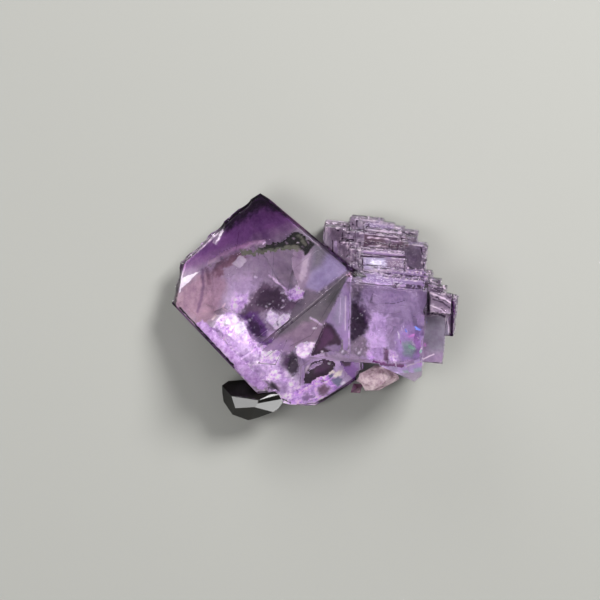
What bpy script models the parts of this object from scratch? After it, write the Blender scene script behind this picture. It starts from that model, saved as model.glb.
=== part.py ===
"""Fluorite octahedron grown together with a stepped cluster of cubes, lying on its broken back.

The clear fluorite is one solid. It grew over a frosted druse, which fills a pocket in its back and shows
through its faces. A black sphalerite crystal, a brown sphalerite chip and a crumb of pale matrix sit in
pockets of it too. Each is its own node. +Z is up, and the crystal's show side faces up.
"""

import math
import random
from typing import NamedTuple

import bmesh
import bpy
from mathutils import Euler, Matrix, Vector

# Every length below is in millimetres. Meshes are scaled to metres when they become objects.
MM = 0.001
CLEARANCE = 0.3  # air kept between a seated crystal and its pocket
SEAT_WALL = 1.0  # from a seated crystal to the druse behind it
REACH = 40.0  # half the block that every crystal is cut from
FLOOR_DEPTH = 30.0
CUT_TOLERANCE = 1e-5
Z_AXIS = Vector((0, 0, 1))


# Colours in linear RGB, roughnesses and indices of refraction.
PURPLE, LILAC = (0.52, 0.36, 0.72), (0.72, 0.58, 0.80)
BLACK, BROWN, PALE = (0.012, 0.010, 0.009), (0.10, 0.03, 0.035), (0.78, 0.62, 0.60)
POLISHED, BRIGHT, FROSTED, GRAINY = 0.03, 0.12, 0.5, 0.6
FLUORITE_IOR, SPHALERITE_IOR, MATRIX_IOR = 1.434, 2.37, 1.5


class Cube(NamedTuple):
    """One cube of the cluster, as ranges along the lattice axes measured from the octahedron's peak.
    Its layers keep their full size down to the ledge, and shrink below it."""

    u: tuple
    v: tuple
    w: tuple
    ledge: float


# ---------------------------------------------------------------- sizes

# The octahedron: X to the right, Y towards its apex, Z up from the resting plane.
APEX = Vector((-4.19, 12.48, 6.0))
PEAK = Vector((5.29, 4.27, 13.5))
RIDGE_END = Vector((-7.07, -5.88, 9.0))
LOWER_CORNER = Vector((1.69, -10.15, 2.7))
HEART = Vector((-2.0, 0.0, 4.5))  # a point well inside the octahedron
APEX_BEVEL = 0.42
APEX_BEVEL_LEFT, APEX_BEVEL_RIGHT = 0.30, 0.11  # where it starts, as shares of the edges from the apex
SHOULDER, ELBOW, LEFT_TIP = (-8.41, 8.95), (-12.60, 5.05), (-13.50, 0.67)
LOWER_RIM = ((-4.08, -9.15), (-1.20, -9.98), (1.69, -10.18), (5.18, -7.95), (7.67, -5.99))
WALL_BASE = 2.2  # where the rim's upright walls turn under
LEFT_WALL_BASE = 3.0
# Where the faces under the rim meet the resting plane.
FOOT_LEFT, FOOT_LOWER, FOOT_RIGHT = (-6.4, -2.6), (-1.2, -6.9), (4.4, -5.2)
FOOT_PEAK, FOOT_SHOULDER, FOOT_ELBOW, FOOT_TIP = (0.3, 0.0), (-4.4, 5.6), (-5.2, 4.9), (-7.4, 1.6)
SKIRT_LEFT, SKIRT_RIGHT = (0.98, -4.85), (7.67, -5.49)
SKIRT_DROP = 0.7  # how far the lower facet falls below the crown face

# The cluster's cubes share one crystal lattice: U across, V up its steps, W out of its front.
LATTICE_TILT = (math.radians(17), math.radians(-6), math.radians(-6))
THIN_LAYER = (0.35, 0.75)
THICK_LAYER = (1.3, 2.1)
LAYER_JOG = 0.11
LAYER_OVERLAP = 0.06
SHRINK_U, SHRINK_V = 0.17, 0.34  # how much smaller each millimetre below the ledge is
GREAT_CUBE = Cube((-6.0, 7.95), (-14.0, -1.6), (-4.6, 0.0), 4.6)
GREAT_CORNER = Cube((3.6, 7.9), (-14.0, -4.0), (-4.4, -0.04), 4.4)
GREAT_HEART = Vector((5.0, -6.0, -5.0))  # a point well inside the great cube
GREAT_ROOT = Cube((-6.0, 7.38), (-14.0, -3.2), (-13.5, -4.1), 9.4)
CLUSTER = {
    "great_cube_ledge": Cube((-0.2, 7.6), (-6.4, -1.12), (-13.0, -1.7), 3.6),
    "great_cube_back": Cube((-0.6, 7.2), (-6.0, -0.88), (-13.0, -3.5), 2.2),
    "low_step": Cube((0.45, 5.07), (-5.5, 0.05), (-12.0, -5.0), 0.9),
    "low_step_rim": Cube((-0.9, 4.75), (-5.3, 0.3), (-12.5, -6.0), 2.0),
    "low_step_corner": Cube((-0.35, 0.95), (-5.0, -0.2), (-11.0, -5.5), 0.8),
    "crumb_a": Cube((-1.25, -0.45), (-4.0, -0.72), (-10.0, -6.2), 1.0),
    "crumb_b": Cube((-1.0, -0.1), (-4.2, 0.62), (-10.5, -6.9), 0.8),
    "mid_step": Cube((-0.62, 4.1), (-5.0, 1.62), (-13.0, -7.85), 1.3),
    "mid_step_right": Cube((3.2, 5.05), (-5.1, 1.2), (-12.8, -7.6), 1.3),
    "column": Cube((4.72, 6.78), (-5.2, 1.12), (-13.0, -6.9), 1.6),
    "column_rim": Cube((4.95, 6.98), (-5.4, 0.9), (-13.2, -7.7), 1.4),
    "top_step": Cube((0.15, 4.2), (-4.7, 1.82), (-13.3, -9.0), 2.6),
    "top_step_right": Cube((3.3, 5.75), (-4.6, 1.5), (-13.1, -8.8), 3.2),
    "summit": Cube((-1.35, 1.95), (-4.5, 2.4), (-13.6, -10.2), 1.7),
    "summit_left": Cube((-1.55, 0.3), (-4.4, 2.3), (-13.7, -10.7), 1.3),
    "summit_right": Cube((0.6, 3.15), (-4.3, 2.18), (-13.5, -10.0), 1.8),
    "left_tower": Cube((-3.82, -2.05), (-3.7, 1.78), (-12.0, -8.0), 1.5),
    "left_tower_back": Cube((-4.15, -1.75), (-3.5, 1.66), (-12.4, -9.4), 1.9),
    "left_buttress": Cube((-2.3, -0.5), (-3.9, 1.36), (-12.2, -9.1), 1.7),
    "left_sill": Cube((-2.15, -0.95), (-4.3, 0.42), (-11.6, -7.5), 1.2),
    "right_cube": Cube((7.3, 10.35), (-4.25, -2.15), (-11.0, -1.5), 0.9),
    "right_cube_step": Cube((7.0, 9.7), (-4.5, -1.72), (-11.3, -2.3), 0.9),
    "right_cube_mid": Cube((6.8, 8.95), (-4.7, -1.3), (-11.5, -3.1), 1.2),
    "right_cube_back": Cube((6.5, 8.15), (-4.9, -0.92), (-11.8, -4.0), 1.0),
    "right_wall": Cube((7.9, 10.72), (-6.95, -3.05), (-12.0, -2.9), 1.8),
    "right_wall_back": Cube((7.7, 10.78), (-7.4, -3.45), (-12.3, -4.3), 1.5),
    "right_foot": Cube((6.2, 9.92), (-9.9, -4.6), (-11.6, -2.45), 2.2),
}
BEVEL_FOOT = Vector((0.98, -4.85, 7.34))  # where the great cube's left bevel meets the octahedron
BEVEL_TOP = Vector((5.08, -4.58, 10.86))
# The bottom edge of the great cube runs from the bevel's foot along the sill, and bends at its middle.
SILL = (BEVEL_FOOT, Vector((7.67, -5.49, 11.0)), Vector((11.98, -7.67, 11.0)))
UNDER_SILL = Vector((0, 0.55, -11))
# The facets under the great cube's front, each through two points of an edge and one lower down.
SILL_FACETS = (
    (Vector((7.29, -5.36, 11.1)), Vector((10.94, -5.52, 11.35)), Vector((10.42, -7.08, 8.2))),
    (Vector((10.94, -5.52, 11.35)), Vector((13.75, -4.48, 12.05)), Vector((12.3, -7.1, 8.0))),
    (Vector((11.85, -7.7, 9.0)), Vector((13.4, -6.1, 9.0)), Vector((11.6, -7.3, 2.0))),
)

# Growth plates: corners as shares of the way along a crown face's two edges from the peak, and thickness.
PLATE_SINK = 0.6
LEFT_PLATES = (
    (((0.03, 0.02), (0.40, 0.02), (0.40, 0.34), (0.22, 0.55), (0.03, 0.55)), 0.07),
    (((0.05, 0.04), (0.24, 0.04), (0.24, 0.30), (0.05, 0.30)), 0.12),
    (((0.52, 0.05), (0.86, 0.05), (0.86, 0.17), (0.52, 0.17)), 0.06),
    (((0.47, 0.62), (0.585, 0.62), (0.585, 0.735), (0.47, 0.735)), 0.08),
    (((0.90, 0.03), (0.98, 0.03), (0.93, 0.70), (0.90, 0.70)), 0.06),
    (((0.30, 0.70), (0.44, 0.70), (0.30, 0.84)), 0.07),
)
RIGHT_PLATES = (
    (((0.06, 0.04), (0.62, 0.04), (0.62, 0.10), (0.06, 0.10)), 0.08),
    (((0.04, 0.16), (0.34, 0.16), (0.34, 0.50), (0.12, 0.62)), 0.07),
    (((0.42, 0.34), (0.66, 0.34), (0.42, 0.62)), 0.09),
)
# Plates on the great cube's front: U range, V range, thickness.
FRONT_PLATE_SINK = 0.5
FRONT_PLATES = (
    ((0.95, 5.2), (-4.35, -1.85), 0.06),
    ((2.1, 6.9), (-3.35, -1.75), 0.11),
    ((5.9, 7.5), (-6.9, -2.3), 0.07),
    ((3.0, 4.6), (-8.7, -6.3), 0.05),
)

# Shell-shaped chips out of the crown: X, Y, radius of the ball that it fits, depth, and how many times
# longer it is in the direction that it points, in degrees from X.
CHIPS = (
    (-6.05, 10.60, 0.7, 0.15, 2.3, 40),
    (-7.35, 9.55, 0.4, 0.13, 1.4, 38),
    (-8.75, 8.35, 0.9, 0.22, 1.7, 44),
    (-10.05, 7.20, 0.7, 0.18, 1.3, 43),
    (-11.15, 6.20, 0.8, 0.16, 1.9, 43),
    (-12.20, 5.10, 0.5, 0.15, 1.3, 50),
    (-12.80, 3.70, 0.6, 0.18, 2.4, 76),
    (-13.12, 1.90, 0.6, 0.14, 2.2, 80),
    (-4.30, -8.80, 0.6, 0.30, 1.0, 0),
    (2.20, -6.75, 2.7, 0.68, 1.0, 0),
)
CHIP_DETAIL = 3
# Notches along the rim from the apex to the peak: size, and the share of the rim to the next one.
NOTCH_SIZE = (0.20, 0.40)
NOTCH_GAP = (0.035, 0.085)
NOTCH_START, NOTCH_END = 0.05, 0.94
NOTCH_TAPER = 0.5
NOTCH_LENGTH = 3.0  # times its size
NOTCH_OUT = Vector((0.32, 0.30, 0.0))  # how far out of the rim its middle lies, times its size
NOTCH_RISE = (-0.045, 0.11)
NOTCH_LEAN = 0.5

# The frosted druse in the back: a floor under the octahedron and one under the cluster, and banks that
# rise under the crown. Convex plan outlines, all going round the same way.
DRUSE_SKIN = 0.8  # clear fluorite between the druse and the octahedron's walls
CROWN_RISE = 0.5  # the crown's normals rise more than this, and the walls' less
DRUSE_FLOOR = 1.5
DRUSE_CUT = 0.8  # how far its blocks go on below the resting plane before they are cut off there
BLOCK_STEP = 0.04
DRUSE_DEPTH = 1.5  # the banks' depth under the crown
CLUSTER_FLOOR = ((1.6, -4.2), (12.2, -4.6), (12.6, -1.0), (11.6, 2.4), (8.6, 4.2), (1.8, 4.4))
BANKS = (
    ((-10.9, -1.9), (-7.2, -0.2), (-5.9, -0.8), (-4.5, -3.6), (-4.2, -9.4), (-7.4, -6.4)),
    ((-4.9, -3.5), (-0.4, -3.5), (0.0, -4.9), (-0.3, -7.7), (-1.2, -10.4), (-4.4, -9.6)),
    ((-1.2, -7.5), (2.7, -7.3), (4.2, -7.5), (5.2, -8.3), (1.7, -10.6), (-1.4, -10.3)),
)
# Cubes that the druse's surface bristles with: tries in each outline, their size and how far they rise.
CUBE_TRIES = 26
CUBE_SIZE = (0.7, 1.3)
CUBE_TURN = 0.7
CUBE_RISE = (0.12, 0.32)
DRUSE_RELIEF = 0.36  # room for them under the clear fluorite
FLOOR_OUTLINE = (
    (-6.4, 3.2),
    (-3.2, 4.6),
    (-0.6, 0.8),
    (2.8, -4.6),
    (0.6, -6.4),
    (-2.2, -6.2),
    (-6.4, -1.4),
)

BLACK_HEART = Vector((-4.9, -9.4, 3.2))
# Corners of the black crystal's upper facets, then of its girdle, going round from its upper left.
BLACK_TABLE = {
    "upper_left": Vector((-7.19, -9.06, 5.15)),
    "upper_right": Vector((-4.38, -9.48, 5.55)),
    "middle": Vector((-4.58, -9.84, 5.60)),
    "lower_right": Vector((-4.69, -10.21, 5.42)),
    "lower_left": Vector((-6.77, -10.31, 5.14)),
}
BLACK_GIRDLE = (
    Vector((-6.25, -7.19, 3.7)),
    Vector((-7.55, -7.50, 3.3)),
    Vector((-7.95, -8.70, 3.1)),
    Vector((-8.07, -9.70, 3.0)),
    Vector((-5.30, -11.72, 3.0)),
    Vector((-4.40, -11.35, 3.3)),
    Vector((-2.92, -10.95, 3.6)),
    Vector((-2.40, -10.52, 3.8)),
    Vector((-1.72, -9.79, 4.1)),
    Vector((-2.30, -8.85, 4.5)),
    Vector((-3.80, -7.60, 4.3)),
)
BLACK_FOOT = Vector((-4.9, -9.1, 0.8))
BLACK_FOOT_HALF = 1.25

BROWN_CENTRE = Vector((6.0, -8.28, 3.0))
BROWN_HALF_SIZE = Vector((0.80, 0.62, 0.80))
BROWN_TURN = math.radians(35)

CRUMB_CENTRE = Vector((8.15, -7.2, 3.2))
CRUMB_HALF_SIZE = Vector((2.2, 1.25, 1.55))
CRUMB_TURN = math.radians(8)
CRUMB_LUMPS = (0.84, 1.16)
CRUMB_CLEARANCE = 0.39


# ---------------------------------------------------------------- solids and planes


def scaled_mesh(name, bm):
    """The closed bmesh as mesh data in metres, its faces pointing out."""
    bmesh.ops.recalc_face_normals(bm, faces=bm.faces)
    if bm.calc_volume(signed=True) < 0:
        bmesh.ops.reverse_faces(bm, faces=bm.faces)
    bm.transform(Matrix.Scale(MM, 4))
    mesh = bpy.data.meshes.new(name)
    bm.to_mesh(mesh)
    bm.free()
    return mesh


def add_object(name, bm, specimen, material=None):
    """A new object of the bmesh, carried by the specimen's empty."""
    obj = bpy.data.objects.new(name, scaled_mesh(name, bm))
    bpy.context.scene.collection.objects.link(obj)
    obj.parent = specimen
    if material:
        obj.data.materials.append(material)
    return obj


def add_helper(name, bm, specimen):
    """An operand of a Boolean, which isn't a node."""
    obj = add_object(name, bm, specimen)
    obj.hide_render = True
    obj.display_type = "WIRE"
    return obj


def combine(obj, group, operation, shapes, specimen):
    """One Boolean of the object with every shape of a group, worked out together. Gives the group."""
    collection = bpy.data.collections.new(group)
    for i, bm in enumerate(shapes):
        collection.objects.link(add_helper(f"{group}_{i}", bm, specimen))
    modifier = obj.modifiers.new(group, "BOOLEAN")
    modifier.operation = operation
    modifier.operand_type = "COLLECTION"
    modifier.collection = collection
    modifier.solver = "EXACT"
    return collection


def face_through(a, b, c, inside):
    """The plane through three points, as (point, normal away from the inside point)."""
    normal = (b - a).cross(c - a).normalized()
    if normal.dot(inside - a) > 0:
        normal.negate()
    return a, normal


def point_on(plane, x, y, lift=0.0):
    """The point above (x, y) that lies the lift above the plane."""
    point, normal = plane
    drop = (normal.x * (x - point.x) + normal.y * (y - point.y)) / normal.z
    return Vector((x, y, point.z - drop + lift))


def upright_faces(corners, inside):
    """Upright planes through each pair of neighbouring plan corners."""
    faces = []
    for (ax, ay), (bx, by) in zip(corners, corners[1:]):
        a, b = Vector((ax, ay, 0)), Vector((bx, by, 0))
        faces.append(face_through(a, b, a + Z_AXIS, inside))
    return faces


def trim(bm, faces):
    """Cuts away what lies outside each (point, outward normal) plane, and closes the cut."""
    for point, normal in faces:
        cut = bmesh.ops.bisect_plane(
            bm,
            geom=bm.verts[:] + bm.edges[:] + bm.faces[:],
            dist=CUT_TOLERANCE,
            plane_co=point,
            plane_no=normal,
            clear_outer=True,
        )
        rim = [e for e in cut["geom_cut"] if isinstance(e, bmesh.types.BMEdge)]
        bmesh.ops.holes_fill(bm, edges=rim)
    return bm


def cut_crystal(faces):
    """A convex crystal: what is left of a block inside every face."""
    bm = bmesh.new()
    bmesh.ops.create_cube(bm, size=2 * REACH)
    return trim(bm, faces)


def moved_out(faces, distance):
    return [(point + normal * distance, normal) for point, normal in faces]


def below_floor():
    """Everything under the resting plane."""
    low, high = Vector((-REACH, -REACH, -FLOOR_DEPTH)), Vector((REACH, REACH, 0.0))
    return box_between(low, high, Matrix.Identity(4))


def highest(bm, face):
    """How far the mesh reaches beyond a plane."""
    point, normal = face
    return max((vert.co - point).dot(normal) for vert in bm.verts)


def box_between(low, high, matrix):
    bm = bmesh.new()
    bmesh.ops.create_cube(bm, size=1.0)
    bm.transform(matrix @ Matrix.Translation((low + high) / 2) @ Matrix.Diagonal((*(high - low), 1)))
    return bm


def outline_faces(corners):
    """Upright planes all round a convex plan outline."""
    middle = sum((Vector((*corner, 0)) for corner in corners), Vector()) / len(corners)
    return upright_faces([*corners, corners[0]], middle)


def lattice_matrix():
    tilt_x, tilt_y, tilt_z = LATTICE_TILT
    turn = (
        Matrix.Rotation(tilt_z, 4, "Z")
        @ Matrix.Rotation(tilt_y, 4, "Y")
        @ Matrix.Rotation(tilt_x, 4, "X")
    )
    return Matrix.Translation(PEAK) @ turn


# ---------------------------------------------------------------- octahedron


def crown_faces():
    """The two upper faces, which meet at the ridge."""
    left = face_through(APEX, PEAK, RIDGE_END, HEART)
    right = face_through(PEAK, RIDGE_END, LOWER_CORNER, HEART)
    return left, right


def octahedron_faces():
    """The octahedron's faces: its crown, the walls of its rim and the faces under it."""
    left, right = crown_faces()

    def through(a, b, c):
        return face_through(a, b, c, HEART)

    def foot(place, height=0.0):
        return Vector((*place, height))

    shoulder, elbow = point_on(left, *SHOULDER), point_on(left, *ELBOW)
    left_tip = point_on(left, *LEFT_TIP)
    heel, corner, right_end = LOWER_RIM[0], LOWER_RIM[2], LOWER_RIM[4]
    skirt_left, skirt_right = point_on(right, *SKIRT_LEFT), point_on(right, *SKIRT_RIGHT)
    bevel_left = APEX.lerp(shoulder, APEX_BEVEL_LEFT)
    bevel_right = APEX.lerp(PEAK, APEX_BEVEL_RIGHT)
    return [
        left,
        right,
        through(skirt_left, skirt_right, point_on(right, *corner, -SKIRT_DROP)),
        through(bevel_left, bevel_right, APEX - Z_AXIS * APEX_BEVEL),
        through(APEX, PEAK, foot(FOOT_PEAK)),
        through(APEX, shoulder, foot(FOOT_SHOULDER)),
        through(shoulder, elbow, foot(FOOT_ELBOW)),
        through(elbow, left_tip, foot(FOOT_TIP)),
        through(left_tip, RIDGE_END, point_on(right, *heel)),
        *upright_faces(LOWER_RIM, HEART),
        through(foot(LEFT_TIP, LEFT_WALL_BASE), foot(heel, LEFT_WALL_BASE), foot(FOOT_LEFT)),
        through(foot(heel, WALL_BASE), foot(corner, WALL_BASE), foot(FOOT_LOWER)),
        through(foot(corner, WALL_BASE), foot(right_end, WALL_BASE), foot(FOOT_RIGHT)),
        (Vector((0, 0, 0)), -Z_AXIS),
    ]


def crown_plate(corners, thickness, along_ridge, along_side):
    """A thin growth plate on a crown face, which it sinks into by more than its thickness."""
    edge_s, edge_t = along_ridge - PEAK, along_side - PEAK
    normal = edge_s.cross(edge_t).normalized()
    normal *= math.copysign(1.0, normal.z)
    bm = bmesh.new()
    under, over = (
        [bm.verts.new(PEAK + edge_s * s + edge_t * t + normal * lift) for s, t in corners]
        for lift in (-PLATE_SINK, thickness)
    )
    bm.faces.new(under)
    bm.faces.new(over)
    for i in range(len(corners)):
        j = (i + 1) % len(corners)
        bm.faces.new((under[i], under[j], over[j], over[i]))
    return bm


def crown_plates():
    for corners, thickness in LEFT_PLATES:
        yield crown_plate(corners, thickness, RIDGE_END, APEX)
    for corners, thickness in RIGHT_PLATES:
        yield crown_plate(corners, thickness, RIDGE_END, BEVEL_FOOT)


def rim_notches():
    """Small three-sided notches that leave the rim from the apex to the peak finely serrated."""
    rng = random.Random(11)
    share = NOTCH_START
    while share < NOTCH_END:
        size = rng.uniform(*NOTCH_SIZE)
        outward = (NOTCH_OUT + Z_AXIS * rng.uniform(*NOTCH_RISE)) * size
        bm = bmesh.new()
        bmesh.ops.create_cone(
            bm,
            cap_ends=True,
            segments=3,
            radius1=size,
            radius2=size * NOTCH_TAPER,
            depth=size * NOTCH_LENGTH,
        )
        turn = Matrix.Rotation(rng.uniform(0, math.tau), 4, "Z")
        lean = Matrix.Rotation(rng.uniform(-NOTCH_LEAN, NOTCH_LEAN), 4, "X")
        bm.transform(Matrix.Translation(APEX.lerp(PEAK, share) + outward) @ lean @ turn)
        yield bm
        share += rng.uniform(*NOTCH_GAP)


def chips():
    """Balls, some drawn out along the rim, that scoop shell-shaped chips out of the crown."""
    left, right = crown_faces()
    for x, y, radius, depth, stretch, heading in CHIPS:
        face = left if y > RIDGE_END.y else right
        bm = bmesh.new()
        bmesh.ops.create_icosphere(bm, subdivisions=CHIP_DETAIL, radius=radius)
        centre = point_on(face, x, y) + face[1] * (radius - depth)
        turn = Matrix.Rotation(math.radians(heading), 4, "Z")
        bm.transform(Matrix.Translation(centre) @ turn @ Matrix.Diagonal((stretch, 1, 1, 1)))
        yield bm


# ---------------------------------------------------------------- stepped cluster


def great_cube(cube, sill_start, sill_end):
    """A block of the cluster's largest cube, whose left side bevels down onto the octahedron. It ends
    below at one stretch of the sill."""
    matrix = lattice_matrix()
    low, high = (Vector(ends) for ends in zip(*cube[:3]))
    inside = matrix @ GREAT_HEART
    faces = [
        face_through(PEAK, BEVEL_FOOT, BEVEL_TOP, inside),
        face_through(sill_start, sill_end, sill_end + UNDER_SILL, inside),
        *(face_through(*points, inside) for points in SILL_FACETS),
    ]
    return trim(box_between(low, high, matrix), faces)


def layers_of(cube, rng):
    """Slabs that fill a cube from its front to its back: thin ones down to its ledge, each jogging a
    little from the last, then thick ones that shrink."""
    matrix = lattice_matrix()
    (u_low, u_high), (v_low, v_high), (w_back, w_front) = cube[:3]
    front = w_front
    while front > w_back:
        thickness = rng.uniform(*(THIN_LAYER if w_front - front < cube.ledge else THICK_LAYER))
        back = front - thickness
        below = max(w_front - back - cube.ledge, 0.0)
        low_u, low_v = u_low - rng.uniform(0, LAYER_JOG), v_low - rng.uniform(0, LAYER_JOG)
        low = Vector((low_u, low_v, back - LAYER_OVERLAP))
        jog_u, jog_v = rng.uniform(-LAYER_JOG, LAYER_JOG), rng.uniform(-LAYER_JOG, LAYER_JOG)
        high = Vector((u_high + jog_u - SHRINK_U * below, v_high + jog_v - SHRINK_V * below, front))
        yield box_between(low, high, matrix)
        front = back


def front_plates():
    matrix = lattice_matrix()
    for (u_low, u_high), (v_low, v_high), thickness in FRONT_PLATES:
        low, high = Vector((u_low, v_low, -FRONT_PLATE_SINK)), Vector((u_high, v_high, thickness))
        yield box_between(low, high, matrix)


def cluster():
    rng = random.Random(7)
    yield great_cube(GREAT_CUBE, *SILL[:2])
    yield great_cube(GREAT_ROOT, *SILL[:2])
    yield great_cube(GREAT_CORNER, *SILL[1:])
    for cube in CLUSTER.values():
        yield from layers_of(cube, rng)
    yield from front_plates()


# ---------------------------------------------------------------- seated crystals


def black_faces():
    """The black crystal: a narrow table, facets that fall from it to the girdle, and an underside."""
    table = BLACK_TABLE
    girdle = BLACK_GIRDLE

    def through(a, b, c):
        return face_through(a, b, c, BLACK_HEART)

    faces = [
        through(table["upper_left"], table["upper_right"], table["lower_left"]),
        through(table["upper_left"], table["upper_right"], girdle[1]),
        through(table["upper_left"], table["lower_left"], girdle[3]),
        through(table["lower_left"], table["lower_right"], girdle[4]),
        through(table["lower_right"], girdle[4], girdle[6]),
        through(table["middle"], table["lower_right"], girdle[7]),
        through(table["upper_right"], table["middle"], girdle[8]),
        through(table["upper_right"], girdle[9], girdle[10]),
    ]
    for a, b in zip(girdle, girdle[1:] + girdle[:1]):
        inward = (BLACK_FOOT - (a + b) / 2) * Vector((1, 1, 0))
        toe = BLACK_FOOT - inward.normalized() * BLACK_FOOT_HALF
        faces.append(through(a, b, toe))
    faces.append((BLACK_FOOT, -Z_AXIS))
    return faces


def brown_faces():
    """A small octahedron."""
    faces = []
    for x in (-1, 1):
        for y in (-1, 1):
            for z in (-1, 1):
                half = BROWN_HALF_SIZE
                normal = Vector((x / half.x, y / half.y, z / half.z))
                reach = 1.0 / normal.length
                normal = Matrix.Rotation(BROWN_TURN, 3, "Z") @ normal.normalized()
                faces.append((BROWN_CENTRE + normal * reach, normal))
    return faces


def crumb(clearance=0.0):
    """Lumpy, blunt-grained matrix: a flattened ball whose corners are pushed about."""
    rng = random.Random(5)
    bm = bmesh.new()
    bmesh.ops.create_icosphere(bm, subdivisions=2, radius=1.0)
    for vert in bm.verts:
        vert.co *= rng.uniform(*CRUMB_LUMPS)
    size = Matrix.Diagonal([half + clearance for half in CRUMB_HALF_SIZE] + [1])
    bm.transform(Matrix.Translation(CRUMB_CENTRE) @ Matrix.Rotation(CRUMB_TURN, 4, "Z") @ size)
    return bm


# ---------------------------------------------------------------- frosted druse


def druse_planes(margin=0.0, headroom=0.0):
    """What bounds the druse: the octahedron's walls moved in by the skin, and its crown by the depth."""
    *around, _ = octahedron_faces()
    walls = [face for face in around if face[1].z < CROWN_RISE]
    crown = [face for face in around if face[1].z > CROWN_RISE]
    inward = DRUSE_DEPTH - margin - headroom
    return moved_out(walls, margin - DRUSE_SKIN), moved_out(crown, -inward)


def druse_blocks(margin=0.0, headroom=0.0):
    """The convex blocks that make up the druse, swollen by a margin and raised by a headroom. Each is a
    little smaller than the last and reaches less far down, so that no two share a face."""
    level = [(Z_AXIS * (DRUSE_FLOOR + margin + headroom), Z_AXIS)]
    outlines = [outline_faces(corners) for corners in (CLUSTER_FLOOR, *BANKS)]
    for i, outline in enumerate([[], *outlines]):
        shell, crown = druse_planes(margin - i * BLOCK_STEP, headroom)
        base = [(Z_AXIS * (i * BLOCK_STEP - DRUSE_CUT), -Z_AXIS)]
        if i == 0:
            yield cut_crystal(shell + level + base)
        elif i == 1:
            yield cut_crystal(moved_out(outline, margin) + moved_out(level, -BLOCK_STEP) + base)
        else:
            yield cut_crystal(shell + crown + moved_out(outline, margin) + base)


def druse_cubes():
    """Small tilted cubes that break the druse's upper side and stay inside its blocks' walls."""
    rng = random.Random(23)
    shell, crown = druse_planes()
    level = [(Z_AXIS * DRUSE_FLOOR, Z_AXIS)]
    fields = [(FLOOR_OUTLINE, shell, level), (CLUSTER_FLOOR, [], level)]
    fields += [(corners, shell, crown) for corners in BANKS]
    for corners, walls, tops in fields:
        walls = [*walls, (Z_AXIS * -DRUSE_CUT, -Z_AXIS), *outline_faces(corners)]
        x_range, y_range = ((min(values), max(values)) for values in zip(*corners))
        for _ in range(CUBE_TRIES):
            spot = rng.uniform(*x_range), rng.uniform(*y_range)
            place = min((point_on(top, *spot) for top in tops), key=lambda point: point.z)
            turn = Euler([rng.uniform(-CUBE_TURN, CUBE_TURN) for _ in range(3)]).to_matrix().to_4x4()
            bm = bmesh.new()
            bmesh.ops.create_cube(bm, size=rng.uniform(*CUBE_SIZE))
            bm.transform(Matrix.Translation(place) @ turn)
            rise = max(highest(bm, top) for top in tops)
            bm.transform(Matrix.Translation(Z_AXIS * (rng.uniform(*CUBE_RISE) - rise)))
            if all(highest(bm, wall) < 0 for wall in walls):
                yield bm
            else:
                bm.free()


def shape_druse(druse, name, blocks, seat_wall, specimen):
    """Joins a druse's first block with the others. Cuts it off at the resting plane and keeps it clear of
    the seated crystals."""
    combine(druse, f"{name}_banks", "UNION", blocks, specimen)
    seats = [cut_crystal(moved_out(faces, seat_wall)) for faces in (black_faces(), brown_faces())]
    cuts = [*seats, crumb(seat_wall), below_floor()]
    combine(druse, f"{name}_cuts", "DIFFERENCE", cuts, specimen)
    return druse


def build_druse(specimen, material):
    first, *blocks = druse_blocks()
    druse = add_object("frosted_druse", first, specimen, material)
    return shape_druse(druse, "druse", [*blocks, *druse_cubes()], SEAT_WALL, specimen)


def druse_pocket(specimen):
    """The room that the druse takes up in the clear fluorite."""
    first, *blocks = druse_blocks(CLEARANCE, DRUSE_RELIEF)
    pocket = add_helper("pocket", first, specimen)
    return shape_druse(pocket, "pocket", blocks, SEAT_WALL - CLEARANCE, specimen)


# ---------------------------------------------------------------- assembly


def new_material(name, colour, roughness, ior, transmission=0.0):
    material = bpy.data.materials.new(name)
    material.use_nodes = True
    shader = material.node_tree.nodes["Principled BSDF"]
    shader.inputs["Base Color"].default_value = (*colour, 1)
    shader.inputs["Roughness"].default_value = roughness
    shader.inputs["Metallic"].default_value = 0.0
    shader.inputs["Transmission Weight"].default_value = transmission
    shader.inputs["IOR"].default_value = ior
    return material


def build_fluorite(specimen):
    purple = new_material("purple_fluorite", PURPLE, POLISHED, FLUORITE_IOR, transmission=1.0)
    fluorite = add_object("fluorite_crystal", cut_crystal(octahedron_faces()), specimen, purple)
    combine(fluorite, "growths", "UNION", [*cluster(), *crown_plates()], specimen)
    seats = [cut_crystal(moved_out(faces, CLEARANCE)) for faces in (black_faces(), brown_faces())]
    seats.append(crumb(CRUMB_CLEARANCE))
    tools = [below_floor(), *seats, *rim_notches(), *chips()]
    cuts = combine(fluorite, "cuts", "DIFFERENCE", tools, specimen)
    cuts.objects.link(druse_pocket(specimen))
    return fluorite


def centre_on_origin(specimen, nodes):
    """Moves the specimen so that the middle of its box's underside is the origin."""
    bpy.context.view_layer.update()
    graph = bpy.context.evaluated_depsgraph_get()
    corners = []
    for node in nodes:
        shown = node.evaluated_get(graph)
        corners.extend(shown.matrix_world @ Vector(corner) for corner in shown.bound_box)
    low = Vector(min(c[i] for c in corners) for i in range(3))
    high = Vector(max(c[i] for c in corners) for i in range(3))
    specimen.location = (-(low.x + high.x) / 2, -(low.y + high.y) / 2, -low.z)


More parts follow.
